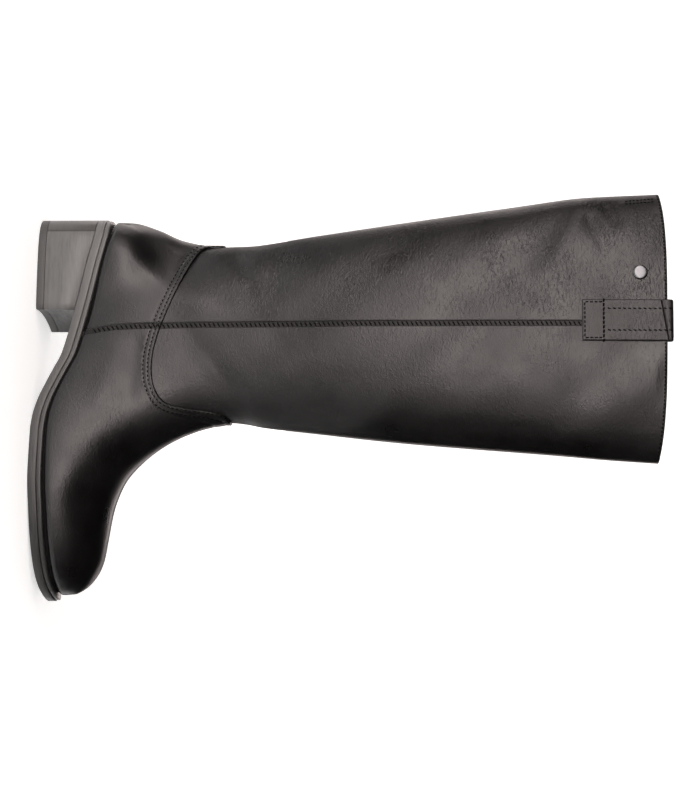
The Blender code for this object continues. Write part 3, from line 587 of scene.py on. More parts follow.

# %% [markdown]
# ## Dents and ridges
# A shaft that stands empty sags a little above the ankle and at the back of the collar, and the
# covers of the foot bulge at the heel and dip under the ankle. Each soft dent or ridge is listed on
# the side view: where it starts and ends, how wide and how high it is. They are added to the
# leather's distance from the last, so that light finds them from any side. A few long, shallow
# swells keep the rest of the leather from looking turned on a lathe.

# %% Folds of the leather
Fold = namedtuple("Fold", "side start end width height")
FOLDS = [
    Fold(-1, (-6, 381), (28, 364), 8.0, 1.0),
    Fold(-1, (3, 386), (22, 396), 5.0, -0.8),
    Fold(-1, (-6, 399), (5, 404), 4.0, -0.8),
    Fold(-1, (12, 412), (14, 426), 12.0, 0.6),
    Fold(-1, (20, 300), (36, 340), 14.0, -0.5),
    Fold(-1, (24, 136), (48, 148), 9.0, -0.9),
    Fold(-1, (40, 150), (62, 142), 9.0, 0.3),
    Fold(-1, (22, 172), (52, 164), 10.0, -0.5),
    Fold(-1, (88, 104), (94, 108), 8.0, -0.3),
    Fold(-1, (98, 152), (128, 136), 12.0, 0.3),
    Fold(-1, (4, 50), (45, 46), 16.0, 1.4),
    Fold(-1, (10, 64), (38, 61), 12.0, 1.1),
    Fold(-1, (28, 99), (42, 98), 13.0, -1.3),
    Fold(-1, (92, 72), (128, 66), 6.0, -0.5),
    Fold(-1, (98, 56), (132, 46), 8.0, 0.4),
    Fold(1, (26, 138), (54, 150), 9.0, -1.0),
    Fold(1, (34, 160), (64, 150), 8.0, 0.4),
    Fold(1, (108, 118), (128, 136), 9.0, -0.5),
    Fold(1, (-6, 384), (12, 374), 6.0, 0.6),
    Fold(1, (4, 50), (72, 40), 16.0, 1.2),
]
Swell = namedtuple("Swell", "length_x length_z start height")
SWELLS = [Swell(96, 140, 0.4, 0.35), Swell(61, 83, 2.2, 0.22), Swell(44, 52, 4.0, 0.12)]
FOLD_START, FOLD_FADE = 4, 8  # a fold starts this far from the boot's middle and grows over this
SWELL_START, SWELL_FADE = 6, 10


def relief(x, y, z):
    """Height of the folds and swells over the plain last."""
    total = np.zeros(len(x))
    for fold in FOLDS:
        away = from_line([fold.start, fold.end], x, z)
        beyond = np.clip((y * fold.side - FOLD_START) / FOLD_FADE, 0, 1)
        total += beyond * fold.height * np.exp(-(away / fold.width) ** 2)
    for swell in SWELLS:
        phase = 2 * math.pi * (x / swell.length_x + z / swell.length_z) + swell.start
        beyond = np.clip((np.abs(y) - SWELL_START) / SWELL_FADE, 0, 1)
        total += beyond * swell.height * np.sin(phase + np.sign(y))
    return total


print("folds:", len(FOLDS))

# %% [markdown]
# ## Shaft
# The shaft is two panels: the front one laps over the back one along the side seam, and its cut
# edge stands up as a line all the way down the outer side. On the inner side the shaft is slit for
# the zip and has a V cut out for the gusset. It is cut from a copy of the skin, its cut edges are
# rolled over a little, and it gets a real thickness.

# %% Shaft, cut and thickened
WALL, WALL_INNER = 2.0, 0.5  # distances of its outer and inner face from the last
LAP = 0.7
LAP_EDGE = 0.62  # share of the lap that the cut edge rises by at once
LAP_FADE = 40.0  # the front panel settles onto the last over this distance from the seam
EDGE_ROLL = 0.9
EDGE_LINES = (0.3, EDGE_ROLL)  # scored along an edge, so that its roll is round
SETTLE = 8.0  # folds die away over this distance from an edge
UNDERLAP = 7.0  # the shaft goes this far down inside the foot's cover
SEAM_BAND = (0.7, 4.8)  # the side seam is sewn between these distances from its edge
BAND_DEEP, BAND_SLOPE = 0.35, 0.4
SEAM_LINES = (-0.1, 0.1, SEAM_BAND[0], SEAM_BAND[0] + BAND_SLOPE, SEAM_BAND[1] - BAND_SLOPE, SEAM_BAND[1])
SEAM_SHADE_INSET = 0.3  # the painted shade of the band stops this far inside it
FRONT_WRINKLE, BACK_WRINKLE = 0.45, 1.0
WRINKLE_START, WRINKLE_FADE = 2, 8  # behind the side seam


def rolled(away, radius):
    """How far a rounded edge drops at a distance inside it."""
    short = np.clip(radius - away, 0, radius)
    return radius - np.sqrt(radius**2 - short**2)


def seam_step(ahead):
    """Height of the front panel's edge and of the sunk band that is sewn through."""
    sunk = LAP - BAND_DEEP
    return np.interp(ahead, (*SEAM_LINES, LAP_FADE), [0, LAP_EDGE * LAP, LAP, sunk, sunk, LAP, 0])


def shaft_lift(x, y, z):
    """Distance of the shaft's outer face from the last."""
    step = np.where(y < 0, seam_step(from_seam(x, z)), 0)
    edge = np.minimum(np.minimum(from_zip(x, y, z), from_gusset(x, y, z)), collar_depth(x, z))
    settle = np.clip(edge / SETTLE, 0, 1)
    return WALL + step + relief(x, y, z) * settle - rolled(np.maximum(edge, 0), EDGE_ROLL)


def collar_depth(x, z):
    """Distance below the collar's edge."""
    low, high = SECTIONS[COLLAR].back_x, SECTIONS[COLLAR].front_x
    along = np.clip((x - low) / (high - low), 0, 1)
    straight = SECTIONS[COLLAR].back_z + (SECTIONS[COLLAR].front_z - SECTIONS[COLLAR].back_z) * along
    return straight + COLLAR_BOW * (1 - (2 * along - 1) ** 4) - z


def paint_seam_shade(form):
    """Gives the faces of the sewn band the second finish, its painted shade."""
    for face in form.faces:
        x, y, z = face.calc_center_median() / MM
        away = float(from_seam(x + BOOT_MIDDLE, z))
        if y < 0 and SEAM_BAND[0] + SEAM_SHADE_INSET < away < SEAM_BAND[1] - SEAM_SHADE_INSET:
            face.material_index = 1


# Painted shade along the sewn band of the side seam, which is also really sunk: a duller, less shiny finish
# than the polished calf beside it, standing in for the shade of the recess and its thread
SHADE_NOISE = {"Scale": per_mm(3.0), "Detail": 3.0}
seam_shade_finish = mottled("seam_painted_shade", ("#100e0e", "#1a1717"), "TexNoise", SHADE_NOISE, Roughness=0.42, IOR=1.33)
shaft = skin.copy()
trim(shaft, lambda x, y, z: -UNDERLAP - from_cover(x, z))
trim(shaft, lambda x, y, z: -from_zip(x, y, z))
trim(shaft, lambda x, y, z: -from_gusset(x, y, z))
for depth in EDGE_LINES:
    score(shaft, lambda x, y, z: from_zip(x, y, z) - depth)
    score(shaft, lambda x, y, z: from_gusset(x, y, z) - depth)
    score(shaft, lambda x, y, z: collar_depth(x, z) - depth)
for ahead in SEAM_LINES:
    score(shaft, lambda x, y, z: np.where(y < 0, from_seam(x, z) - ahead, FAR))
x, y, z = measures(shaft)
behind = np.clip((-from_seam(x, z) - WRINKLE_START) / WRINKLE_FADE, 0, 1)
set_wrinkle(shaft, FRONT_WRINKLE + (BACK_WRINKLE - FRONT_WRINKLE) * behind)
thicken(shaft, np.full(len(x), WALL_INNER), shaft_lift(x, y, z))
paint_seam_shade(shaft)
shaft = show("shaft", shaft, "smooth_leather", black_calf, seam_shade_finish)
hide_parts("upper")

# %% [markdown]
# ## Vamp and counter
# Two covers are laid over the shaft's lower end: the vamp over the forefoot and instep, and the
# counter round the heel. They are thick at the edge, where the leather is turned under, so they
# stand proud of the shaft. A trough lies under each row of stitches, pulled in by the thread. The
# troughs are scored first, so that they are as narrow as the thread makes them.

# %% Vamp and counter, cut from the same skin
COVER_INNER, COVER_OUTER = 2.3, 3.5  # distances of its inner and outer face from the last
COVER_LEAST = 0.1  # wall that is left where the cover is thinnest
COVER_ROLL = 1.1
COVER_LINES = (0.35, COVER_ROLL)  # scored along its edge, so that the roll is round
COVER_ROWS = (2.8, 5.9)  # distances of the two stitch rows from the edge
COVER_WRINKLE = 0.4
TROUGH_HALF, TROUGH_DEEP = 0.75, 0.24
FOOT_GAP, SOLE_GAP = 0.3, 0.35  # between vamp and counter, and above the welt
TUCK_DEEP, TUCK_FADE = 0.25, 1.2  # the counter dips where the vamp laps over it
INNER_SIDE = 3.0  # the covers part along the zip from this far inwards
# The feather groove, where the upper turns in above the welt: height over it and depth
GROOVE_UP = (0.0, 2.1, 2.3, 2.7, 3.3, 4.2, 5.6)
GROOVE_IN = (2.4, 2.4, 1.6, 0.95, 0.45, 0.15, 0.0)
GROOVE_SHADE_TOP = 2.15  # painted shade covers it up to this height
GROOVE_INNER = 0.6  # distance of its inner face from the last


def above_welt(x, z):
    return z - feather(np.clip(x, FEATHER_X[0], FEATHER_X[-1]))


def trough(away):
    """Depth of the pulled-in leather at a distance from a row of stitches."""
    return TROUGH_DEEP * np.clip(1 - np.abs(away) / TROUGH_HALF, 0, 1)


def cover_lift(x, y, z, front):
    """Distance of the outer face of the vamp or the counter from the last."""
    edge = -from_cover(x, z)
    seam = from_seam(x, z)
    lift = COVER_OUTER - rolled(np.maximum(edge, 0), COVER_ROLL)
    lift -= np.interp(above_welt(x, z), GROOVE_UP, GROOVE_IN)
    lift -= rolled(np.maximum(from_zip(x, y, z), 0), EDGE_ROLL)
    lift += relief(x, y, z) * np.clip(np.minimum(edge, from_zip(x, y, z)) / SETTLE, 0, 1)
    for row in COVER_ROWS:
        lift -= trough(edge - row)
    outer = y < 0
    if front:
        lift += np.where(outer, seam_step(seam), 0)
    else:
        lift -= np.where(outer, np.interp(-seam, [0, TUCK_FADE], [TUCK_DEEP, 0]), 0)
    return lift


def cover_piece(front):
    """The vamp, or else the counter: cut, scored and thickened, with painted shade in the groove above the
    welt and, on the vamp, along the sewn band of the side seam.
    """
    form = skin.copy()
    sign = 1 if front else -1
    trim(form, lambda x, y, z: from_cover(x, z))
    trim(form, lambda x, y, z: SOLE_GAP - above_welt(x, z))
    for height in GROOVE_UP[1:]:
        score(form, lambda x, y, z: above_welt(x, z) - height)
    trim(form, lambda x, y, z: np.where(y < 0, FOOT_GAP / 2 - sign * from_seam(x, z), -FAR))
    trim(form, lambda x, y, z: np.where(y > INNER_SIDE, FOOT_GAP / 2 - sign * (x - zip_line(z)), -FAR))
    trim(form, lambda x, y, z: -from_zip(x, y, z))
    lines = list(COVER_LINES)
    for row in COVER_ROWS:
        lines += [row - TROUGH_HALF, row, row + TROUGH_HALF]
    for line in lines:
        score(form, lambda x, y, z: from_cover(x, z) + line)
    if front:
        for line in SEAM_LINES[2:]:
            score(form, lambda x, y, z: np.where(y < 0, from_seam(x, z) - line, FAR))
    x, y, z = measures(form)
    set_wrinkle(form, COVER_WRINKLE)
    lift = cover_lift(x, y, z, front)
    inner = np.minimum(COVER_INNER, lift - COVER_LEAST)
    inner = np.where(above_welt(x, z) < GROOVE_UP[2], GROOVE_INNER, inner)
    thicken(form, inner, lift)
    # faces low in the groove above the welt get its painted shade
    for face in form.faces:
        middle = face.calc_center_median() / MM
        face.material_index = 2 * int(above_welt(middle.x + BOOT_MIDDLE, middle.z) < GROOVE_SHADE_TOP)
    if front:
        paint_seam_shade(form)
    return form


# Painted shade in the groove above the welt, which is also really sunk: matt and near black, standing in
# for the shadow where the upper turns in
groove = mottled("groove_painted_shade", ("#020202", "#060505"), "TexNoise", SHADE_NOISE, Roughness=0.95, IOR=1.33)
vamp = show("vamp_leather", cover_piece(True), "smooth_leather", black_calf, seam_shade_finish, groove)
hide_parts("vamp")
counter = show("counter_leather", cover_piece(False), "smooth_leather", black_calf, seam_shade_finish, groove)
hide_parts("counter")

# %% [markdown]
# ## Lining
# Inside, the boot is lined with thin, plain black leather from the collar down to the insole. It is
# the same skin again, as a thin wall on the inner face. A one-sided sheet would do for the picture,
# but a wall stays closed when the model is exported.

# %% Lining
LINING = 0.4
# Thin split leather: matt, with a short nap that breaks the light up
split_leather = mottled("lining_leather", ("#1d1b1a", "#2b2826"), "TexNoise",
                        {"Scale": per_mm(1.6), "Detail": 4.0}, raised=(0.3, 0.2), Roughness=0.72, IOR=1.45)
lining = make_skin(40, 4.5)
trim(lining, lambda x, y, z: SOLE_GAP - above_welt(x, z))
low = np.zeros(len(lining.verts))
thicken(lining, low, low + LINING)
show("lining", lining, "smooth_leather", split_leather)

# %% [markdown]
# ## Finding a place on the boot
# The zip, the strap, the stud and every stitch sit on the leather. A ray shot across the boot at a
# place of the side view finds the last there, and the piece is set at its own distance outside it.

# %% Places on the skin
skin_tree = BVHTree.FromBMesh(skin)


def on_skin(x, z, side, lift):
    """Place at a distance outside the last, and the last's direction outwards there."""
    start = place(x, side * FAR, z)
    spot, normal, _, _ = skin_tree.ray_cast(start, Vector((0.0, -side, 0.0)))
    return spot + normal * lift * MM, normal


print("side seam at the collar:", tuple(round(c, 3) for c in on_skin(75.5, 430, -1, WALL)[0]))

# %% [markdown]
# ## Gusset
# The V of the gusset is soft leather behind the cut, so it lies a little deeper than the shaft. It
# sags inwards in its middle, because nothing pulls it flat while the boot stands empty.

# %% Gusset
GUSSET_GAP = 0.25
GUSSET_INNER, GUSSET_OUTER = 0.55, 1.5  # distances of its inner and outer face from the last
GUSSET_WRINKLE = 0.6
SAG_DEEP, SAG_FADE = 0.5, 12
gusset = skin.copy()
trim(gusset, lambda x, y, z: from_gusset(x, y, z) + GUSSET_GAP)
x, y, z = measures(gusset)
sag = SAG_DEEP * np.clip(-from_gusset(x, y, z) / SAG_FADE, 0, 1)
set_wrinkle(gusset, GUSSET_WRINKLE)
thicken(gusset, GUSSET_INNER - sag / 2, GUSSET_OUTER - sag)
gusset = show("gusset_leather", gusset, "smooth_leather", black_calf)
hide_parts("gusset")

# %% [markdown]
# ## Zip
# A nylon coil zip runs up the inner side in a narrow slot: a woven tape, and on it two coils whose
# turns mesh. The tape is a strip of the skin. One turn of the coil is a small flattened ball, laid
# a little aslant, and it is repeated up both sides of the line, half a turn apart.

# %% Zip tape
TAPE_INNER, TAPE_THICK, TAPE_GAP = 0.5, 0.5, 0.05
# Polyester tape: a twill whose ribs swallow the light, drawn a little coarse so that they show
woven_tape = mottled("woven_tape", ("#0d0d0e", "#1d1d1f"), "TexWave",
                     {"Scale": bands_mm(4.737, 10), "Distortion": 0.6, "bands_direction": "DIAGONAL"},
                     raised=(0.5, 0.15), Roughness=0.85, Sheen_Weight=0.2, Sheen_Roughness=0.5)
tape = skin.copy()
trim(tape, lambda x, y, z: from_zip(x, y, z) + TAPE_GAP)
low = np.full(len(tape.verts), TAPE_INNER)
thicken(tape, low, low + TAPE_THICK)
tape = show("zip_tape_cloth", tape, "zip_tape", woven_tape)
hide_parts("zip_tape")

# %% Zip coil
COIL_PITCH = 1.5
COIL_START, COIL_TOP = ZIP_END + 2.5, 426.0
COIL_LIFT = 1.75
COIL_APART = 1.3  # middle of a turn beside the zip's line
COIL_TURN = (3.1, 1.25, 1.15)  # across the zip, along it and outwards
COIL_ASLANT = math.radians(14.0)


def lie_on(spot, normal, along):
    """Turns a shape so that its z points outwards and its y along a direction, and moves it there."""
    across = along.cross(normal).normalized()
    return Matrix.Translation(spot) @ Matrix((across, normal.cross(across), normal)).transposed().to_4x4()


def repeat(shape, places):
    """One form with a copy of a small shape at each of these places."""
    form = bmesh.new()
    step = bpy.data.meshes.new("step")
    for where in places:
        one = shape.copy()
        one.transform(where)
        one.to_mesh(step)
        one.free()
        form.from_mesh(step)
    bpy.data.meshes.remove(step)
    return form


turn = bmesh.new()
bmesh.ops.create_uvsphere(turn, u_segments=8, v_segments=5, radius=1.0)
bmesh.ops.scale(turn, vec=[part * MM / 2 for part in COIL_TURN], verts=turn.verts)
turns = []
level = COIL_START
while level < COIL_TOP:
    spot, normal = on_skin(float(zip_line(level)), level, 1, COIL_LIFT)
    ahead, _ = on_skin(float(zip_line(level + 1)), level + 1, 1, COIL_LIFT)
    for side in (-1, 1):
        shift = Matrix.Translation((side * COIL_APART * MM, side * COIL_PITCH / 4 * MM, 0.0))
        aslant = Matrix.Rotation(side * COIL_ASLANT, 4, "Z")
        turns.append(lie_on(spot, normal, ahead - spot) @ shift @ aslant)
    level += COIL_PITCH * (ahead - spot).normalized().z
# Drawn nylon: smooth and a little waxy, with a soft shine on each turn
coil_nylon = mottled("coil_nylon", ("#121214", "#1c1c1f"), "TexNoise",
                     {"Scale": per_mm(5.0), "Detail": 2.0}, Roughness=0.38, IOR=1.53)
coil = show("coil", repeat(turn, turns), "zip_coil", coil_nylon, sharp=80.0)
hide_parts("zip_coil")
print("turns of the coil:", len(turns))

# %% [markdown]
# ## Slider and pull
# The slider and its tab are die cast and plated. Their solids already have the right shape, so they
# stay, and two modifiers finish them: one welds the loose triangles and one rounds the edges.

# %% Slider and pull
def plated_metal(name, dark, light):
    """Plated die casting: a dark even shine, rubbed brighter and duller in places."""
    rubbed = {"Scale": per_mm(2.5), "Detail": 4.0}
    return mottled(name, (dark, light), "TexNoise", rubbed, worn=(0.22, 0.4), Metallic=1.0)


gunmetal = plated_metal("plated_gunmetal", "#6d6b69", "#a09d99")
for name in ("zip_slider", "zip_pull"):
    solid = bpy.data.objects[name]
    solid.data.materials.clear()
    solid.data.materials.append(gunmetal)
    weld = solid.modifiers.new("weld", "WELD")
    weld.merge_threshold = 0.01 * MM
    round_off = solid.modifiers.new("rounded_edges", "BEVEL")
    round_off.width = 0.28 * MM
    round_off.segments = 2
    round_off.limit_method = "ANGLE"
    round_off.angle_limit = math.radians(35)
    round_off.use_clamp_overlap = True
print("gunmetal on the slider and its pull")

# %% [markdown]
# ## Pull-on strap
# A strap of the same leather is sewn to the outer side, loops over the collar and is sewn again
# inside. It is a grid that is laid along that path: up the outside of the shaft, round a loop that
# is pressed nearly flat above the collar, and down the inside. Its cut edges are rolled, and a
# slanted crease is scored across it where it bends over the collar.

# %% Strap
STRAP_MIDDLE, STRAP_HALF, STRAP_THICK, STRAP_ROLL = 75.9, 14.5, 1.6, 1.0
STRAP_LINES = (0.15, 0.45, STRAP_ROLL)  # scored along its foot, so that the roll is round
STRAP_WRINKLE = 0.8
STRAP_FOOT, STRAP_INSIDE, STRAP_TURN = 379.5, 394.0, 440.4
STRAP_OUTER_LIFT, STRAP_INNER_LIFT = 2.35, -2.0
LOOP_RISE, LOOP_POWER = 6.0, 0.35  # height of the loop, and how square it is: 1 would be round
STRAP_CREASE = ((61.4, 434.0), (90.4, 439.0))
CREASE_HALF, CREASE_DEEP = 0.6, 0.7
CREASE_BULGE, BULGE_FADE = 0.5, 2  # the strap stands out above the crease
strap_leather = calf_leather("strap_leather", "#0d0c0c", "#151312", 0.33, 0.42)


def strap_place(across, along):
    """Place of the strap's under face: along runs from 0 at its foot to 3 at its inner end."""
    x = STRAP_MIDDLE + across
    wall_top = STRAP_TURN - LOOP_RISE
    if along <= 1:
        z = STRAP_FOOT + (wall_top - STRAP_FOOT) * along
        return on_skin(x, z, -1, STRAP_OUTER_LIFT)[0]
    if along >= 2:
        z = wall_top + (STRAP_INSIDE - wall_top) * (along - 2)
        return on_skin(x, z, -1, STRAP_INNER_LIFT + STRAP_THICK)[0]
    turn = math.pi * (along - 1)
    outer = on_skin(x, wall_top, -1, STRAP_OUTER_LIFT)[0]
    inner = on_skin(x, wall_top, -1, STRAP_INNER_LIFT + STRAP_THICK)[0]
    middle = (outer + inner) / 2
    rise = LOOP_RISE * MM * math.sin(turn) ** LOOP_POWER
    swing = math.copysign(abs(math.cos(turn)) ** LOOP_POWER, math.cos(turn))
    return middle + (outer - inner) / 2 * swing + Vector((0.0, 0.0, rise))


def from_crease(x, z):
    """Distance above the slanted crease where the strap bends over the collar."""
    (x0, z0), (x1, z1) = STRAP_CREASE
    return (z - z0 - (x - x0) * (z1 - z0) / (x1 - x0)) * math.cos(math.atan2(z1 - z0, x1 - x0))


def across_strap(share):
    """Columns close up towards the long edges, where the roll needs them."""
    return STRAP_HALF * math.sin(share * math.pi / 2)


STRAP_COLUMNS, STRAP_ROWS = 30, 90
strap = bmesh.new()
bmesh.ops.create_grid(strap, x_segments=STRAP_COLUMNS, y_segments=STRAP_ROWS, size=1.0)
for vert in strap.verts:
    vert.co = strap_place(across_strap(vert.co.x), (vert.co.y + 1) * 1.5)
ready(strap, min(strap.verts, key=lambda vert: vert.co.z))
for away in (-CREASE_HALF, 0.0, CREASE_HALF):
    score(strap, lambda x, y, z: from_crease(x, z) - away)
for away in STRAP_LINES:
    score(strap, lambda x, y, z: z - STRAP_FOOT - away)
set_wrinkle(strap, STRAP_WRINKLE)
x, y, z = measures(strap)
away = from_crease(x, z)
inset = np.minimum(STRAP_HALF - np.abs(x - STRAP_MIDDLE), z - STRAP_FOOT)
face_lift = STRAP_THICK - rolled(np.maximum(inset, 0), STRAP_ROLL)
face_lift -= CREASE_DEEP * np.clip(1 - np.abs(away) / CREASE_HALF, 0, 1)
face_lift += CREASE_BULGE * np.clip(away / BULGE_FADE, 0, 1)
thicken(strap, np.zeros(len(x)), face_lift)
strap = show("strap", strap, "strap_leather", strap_leather)
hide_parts("pull_strap")

# %% [markdown]
# ## Stud
# A plain domed stud sits at the back of the collar. It is turned: half a profile is spun once
# round, as on a lathe, with a low, nearly flat dome and a rounded rim.

# %% Stud
STUD_X, STUD_Z, STUD_LIFT = 42.0, 420.0, 2.05
STUD_PROFILE = [(0.0, 1.62), (2.0, 1.61), (3.6, 1.57), (4.4, 1.47), (4.85, 1.24), (5.1, 0.86),
                (5.2, 0.45), (5.15, 0.15), (5.0, 0.0)]


def spun(profile, steps):
    """A profile of radii and heights, in metres, spun once round."""
    form = bmesh.new()
    verts = [form.verts.new((radius, 0.0, height)) for radius, height in profile]
    edges = [form.edges.new(pair) for pair in zip(verts, verts[1:])]
    bmesh.ops.spin(form, geom=verts + edges, axis=(0, 0, 1), cent=(0, 0, 0), steps=steps,
                   angle=2 * math.pi, use_merge=True)
    bmesh.ops.remove_doubles(form, verts=form.verts, dist=0.005 * MM)
    return form


stud = spun([(radius * MM, height * MM) for radius, height in STUD_PROFILE], 48)
bmesh.ops.holes_fill(stud, edges=[edge for edge in stud.edges if edge.is_boundary], sides=0)
bmesh.ops.recalc_face_normals(stud, faces=stud.faces)
spot, normal = on_skin(STUD_X, STUD_Z, -1, STUD_LIFT)
stud.transform(lie_on(spot, normal, Vector((0.0, 0.0, 1.0))))
nickel = plated_metal("polished_nickel", "#67696b", "#7a7b7d")
stud = show("domed_stud", stud, "polished_stud", nickel, sharp=60.0)
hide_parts("stud")

# %% [markdown]
# ## Sole
# Under the upper lie two layers whose edges show all round: the welt, and the outsole below it.
# Each is one outline, pushed out from the last's lower edge, and a short profile of the trimmed and
# burnished edge. A circle of corners takes the outline's shape and is extruded once for each step
# of the profile. Rounded lips leave a fine dark line between the layers, as on the real sole.

# %% The sole's outline
OUTLINE_POINTS = 264
HEEL_BACK = 15  # place in the table of the section at the back of the heel
SOLE_EDGE_HEEL, SOLE_EDGE_TOE = 5.4, 7.1  # outsole beyond the last


def last_edge():
    """The last's lower edge in plan, evenly spaced, from the toe along the outer side and back."""
    rows = np.linspace(0, HEEL_BACK, 301)
    table = np.array(SECTIONS)
    names = ("back_x", "middle", "edge_lateral", "edge_medial")
    columns = [table[:, Section._fields.index(name)] for name in names]
    x, middle, lateral, medial = (smooth(range(len(table)), column, rows) for column in columns)
    outer = np.stack((x, middle - lateral), 1)
    inner = np.stack((x, middle + medial), 1)
    loop = np.concatenate((outer, inner[-2::-1]))
    run = np.concatenate(([0], np.cumsum(np.hypot(*np.diff(loop, axis=0).T))))
    even = np.linspace(0, run[-1], OUTLINE_POINTS + 1)[:-1]
    return np.stack((np.interp(even, run, loop[:, 0]), np.interp(even, run, loop[:, 1])), 1)


def pushed_out(loop, margin):
    """A closed outline moved outwards, by a margin for each of its points."""
    along = np.roll(loop, -1, axis=0) - np.roll(loop, 1, axis=0)
    along /= np.hypot(*along.T)[:, None]
    return loop + np.stack((-along[:, 1], along[:, 0]), 1) * np.reshape(margin, (-1, 1))


def eased(loop, times):
    """A closed outline with each point moved towards the middle of its neighbours."""
    for _ in range(times):
        loop = loop / 2 + (np.roll(loop, 1, axis=0) + np.roll(loop, -1, axis=0)) / 4
    return loop


EDGE = eased(last_edge(), 3)
REACH = SOLE_EDGE_HEEL + (SOLE_EDGE_TOE - SOLE_EDGE_HEEL) * np.clip(EDGE[:, 0] / FEATHER_X[-1], 0, 1)
print("sole outline:", round(float(np.ptp(pushed_out(EDGE, REACH)[:, 0])), 1), "mm long")

# %% Outsole and welt
OUTSOLE_THICK, WELT_THICK, LAYER_GAP, WELT_STEP = 5.6, 3.4, 0.3, 0.7
# Steps of a trimmed edge: how far behind the outline, and how far below the layer's top
OUTSOLE_STEPS = [(9.0, -0.2), (0.35, -0.2), (0.1, -0.1), (0.0, 0.1), (0.05, 2.6), (0.0, 5.3),
                 (0.12, 5.5), (0.4, 5.6), (9.0, 5.6)]
WELT_STEPS = [(9.0, 0.0), (1.6, 0.0), (0.8, 0.1), (0.2, 0.5), (0.0, 1.2), (0.1, 1.9), (0.0, 2.6),
              (0.15, 3.1), (0.5, 3.4), (9.0, 3.4)]
SHADE_HEEL, SHADE_TOE = -0.13, 0.1  # painted light and shade: the edge is painted lightest at the heel, which faces the key light, and darkest at the toe, in metres


def loft(loops):
    """A closed form through a list of outlines of equal length, its ends filled from side to side."""
    form = bmesh.new()
    number = form.verts.layers.int.new("number")
    count = len(loops[0])
    ring = bmesh.ops.create_circle(form, segments=count, radius=1.0, cap_ends=False)["verts"]
    for k, vert in enumerate(ring):
        vert[number] = k
        vert.co = place(*loops[0][k])
    first = edges = form.edges[:]
    for loop in loops[1:]:
        edges = bmesh.ops.extrude_edge_only(form, edges=edges)["geom"]
        for vert in edges:
            if isinstance(vert, bmesh.types.BMVert):
                vert.co = place(*loop[vert[number]])
        edges = [edge for edge in edges if isinstance(edge, bmesh.types.BMEdge) and edge.is_boundary]
    for end in (first, edges):
        chains = [edge for edge in end if all(vert[number] % (count // 2) for vert in edge.verts)]
        bmesh.ops.bridge_loops(form, edges=chains)
    bmesh.ops.holes_fill(form, edges=[edge for edge in form.edges if edge.is_boundary], sides=0)
    bmesh.ops.recalc_face_normals(form, faces=form.faces)
    return form


def sole_layer(steps, thick, below, behind):
    """A layer that follows the upper's lower edge, and lies flat on the floor where it meets it."""
    loops = []
    for inset, drop in steps:
        loop = pushed_out(EDGE, REACH - behind - inset)
        level = feather(np.clip(loop[:, 0], FEATHER_X[0], FEATHER_X[-1])) - below
        z = np.maximum(level, thick) - drop
        loops.append(np.column_stack((loop, z)))
    return loft(loops)


def burnished_edge_painted_light(name, dark, light, rough):
    """Leather edge, inked and burnished: a dull shine with fine streaks along it, and painted light:
    lighter towards the heel, which faces the key light, darker towards the toe.
    """
    material, tree, shader = finish(name, IOR=1.42)
    spot = add(tree, "TexCoord").outputs["Object"]
    stretch = add(tree, "Mapping", {"Scale": (per_mm(16.0), per_mm(16.0), per_mm(0.9))}, {"Vector": spot})
    streak = add(tree, "TexNoise", {"Scale": 1.0, "Detail": 4.0}, {"Vector": stretch.outputs["Vector"]})
    apart = add(tree, "SeparateXYZ", None, {"Vector": spot})
    # painted light: the tone rises from the toe to the heel, which faces the key light
    along = add(tree, "MapRange", {"From Min": SHADE_HEEL, "From Max": SHADE_TOE, "To Min": 1.0,
                                   "To Max": 0.0}, {"Value": apart.outputs["X"]})
    blend = add(tree, "Math", {"operation": "MULTIPLY_ADD", 1: 0.35},
                {0: streak.outputs["Fac"], 2: along.outputs["Result"]})
    tone = add(tree, "Mix", {"data_type": "RGBA", "A": linear(dark), "B": linear(light)},
               {"Factor": blend.outputs["Value"]})
    worn = add(tree, "MapRange", {"From Min": 0.3, "From Max": 0.7, "To Min": rough - 0.06,
                                  "To Max": rough + 0.1}, {"Value": streak.outputs["Fac"]})
    grooves = add(tree, "Bump", {"Strength": 0.2, "Distance": 0.15 * MM}, {"Height": streak.outputs["Fac"]})
    wire(tree, shader, Base_Color=tone.outputs["Result"], Roughness=worn.outputs["Result"],
         Normal=grooves.outputs["Normal"])
    return material


outsole = sole_layer(OUTSOLE_STEPS, OUTSOLE_THICK, WELT_THICK + LAYER_GAP, 0.0)
sole_edge_ink_and_light = burnished_edge_painted_light("burnished_sole_edge_painted_light", "#060606", "#595857", 0.36)
outsole = show("outsole_layer", outsole, "sole_edge", sole_edge_ink_and_light)
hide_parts("outsole")
welt = sole_layer(WELT_STEPS, WELT_THICK, 0.0, WELT_STEP)
welt = show("welt", welt, "sole_edge", burnished_edge_painted_light("burnished_welt_painted_light", "#0d0d0d", "#555453", 0.3))
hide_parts("midsole")

# %% [markdown]
# ## Heel
# The heel is a stack of leather lifts on a rubber top piece. Its wall carries the sole's outline on
# down to the floor, and its front, the breast, is hollowed a little. The lifts show as faint level
# lines, so they are in the finish. The edges are real, because they catch the light. The breast is
# painted darker than the sides, as painted shade, because it faces the toe, away from the soft boxes.
# A dark line along the arris before the back, and a darker back, are painted shade too.

# %% Heel stack and top piece
HEEL_OUTER, HEEL_INNER, BREAST_HOLLOW = 67.5, 71.0, 3.2
BREAST_POINTS, BREAST_CORNER = 41, 0.6  # the outline stops this far behind the breast
BREAST_FACING = 0.6  # faces that look ahead more than this are the breast, which gets painted shade
TIP_TOP = 5.6
ARRIS, ARRIS_HALF = 9.5, 2.0  # the side of the heel turns into its back here, over this far each way, and is painted dark there as shade
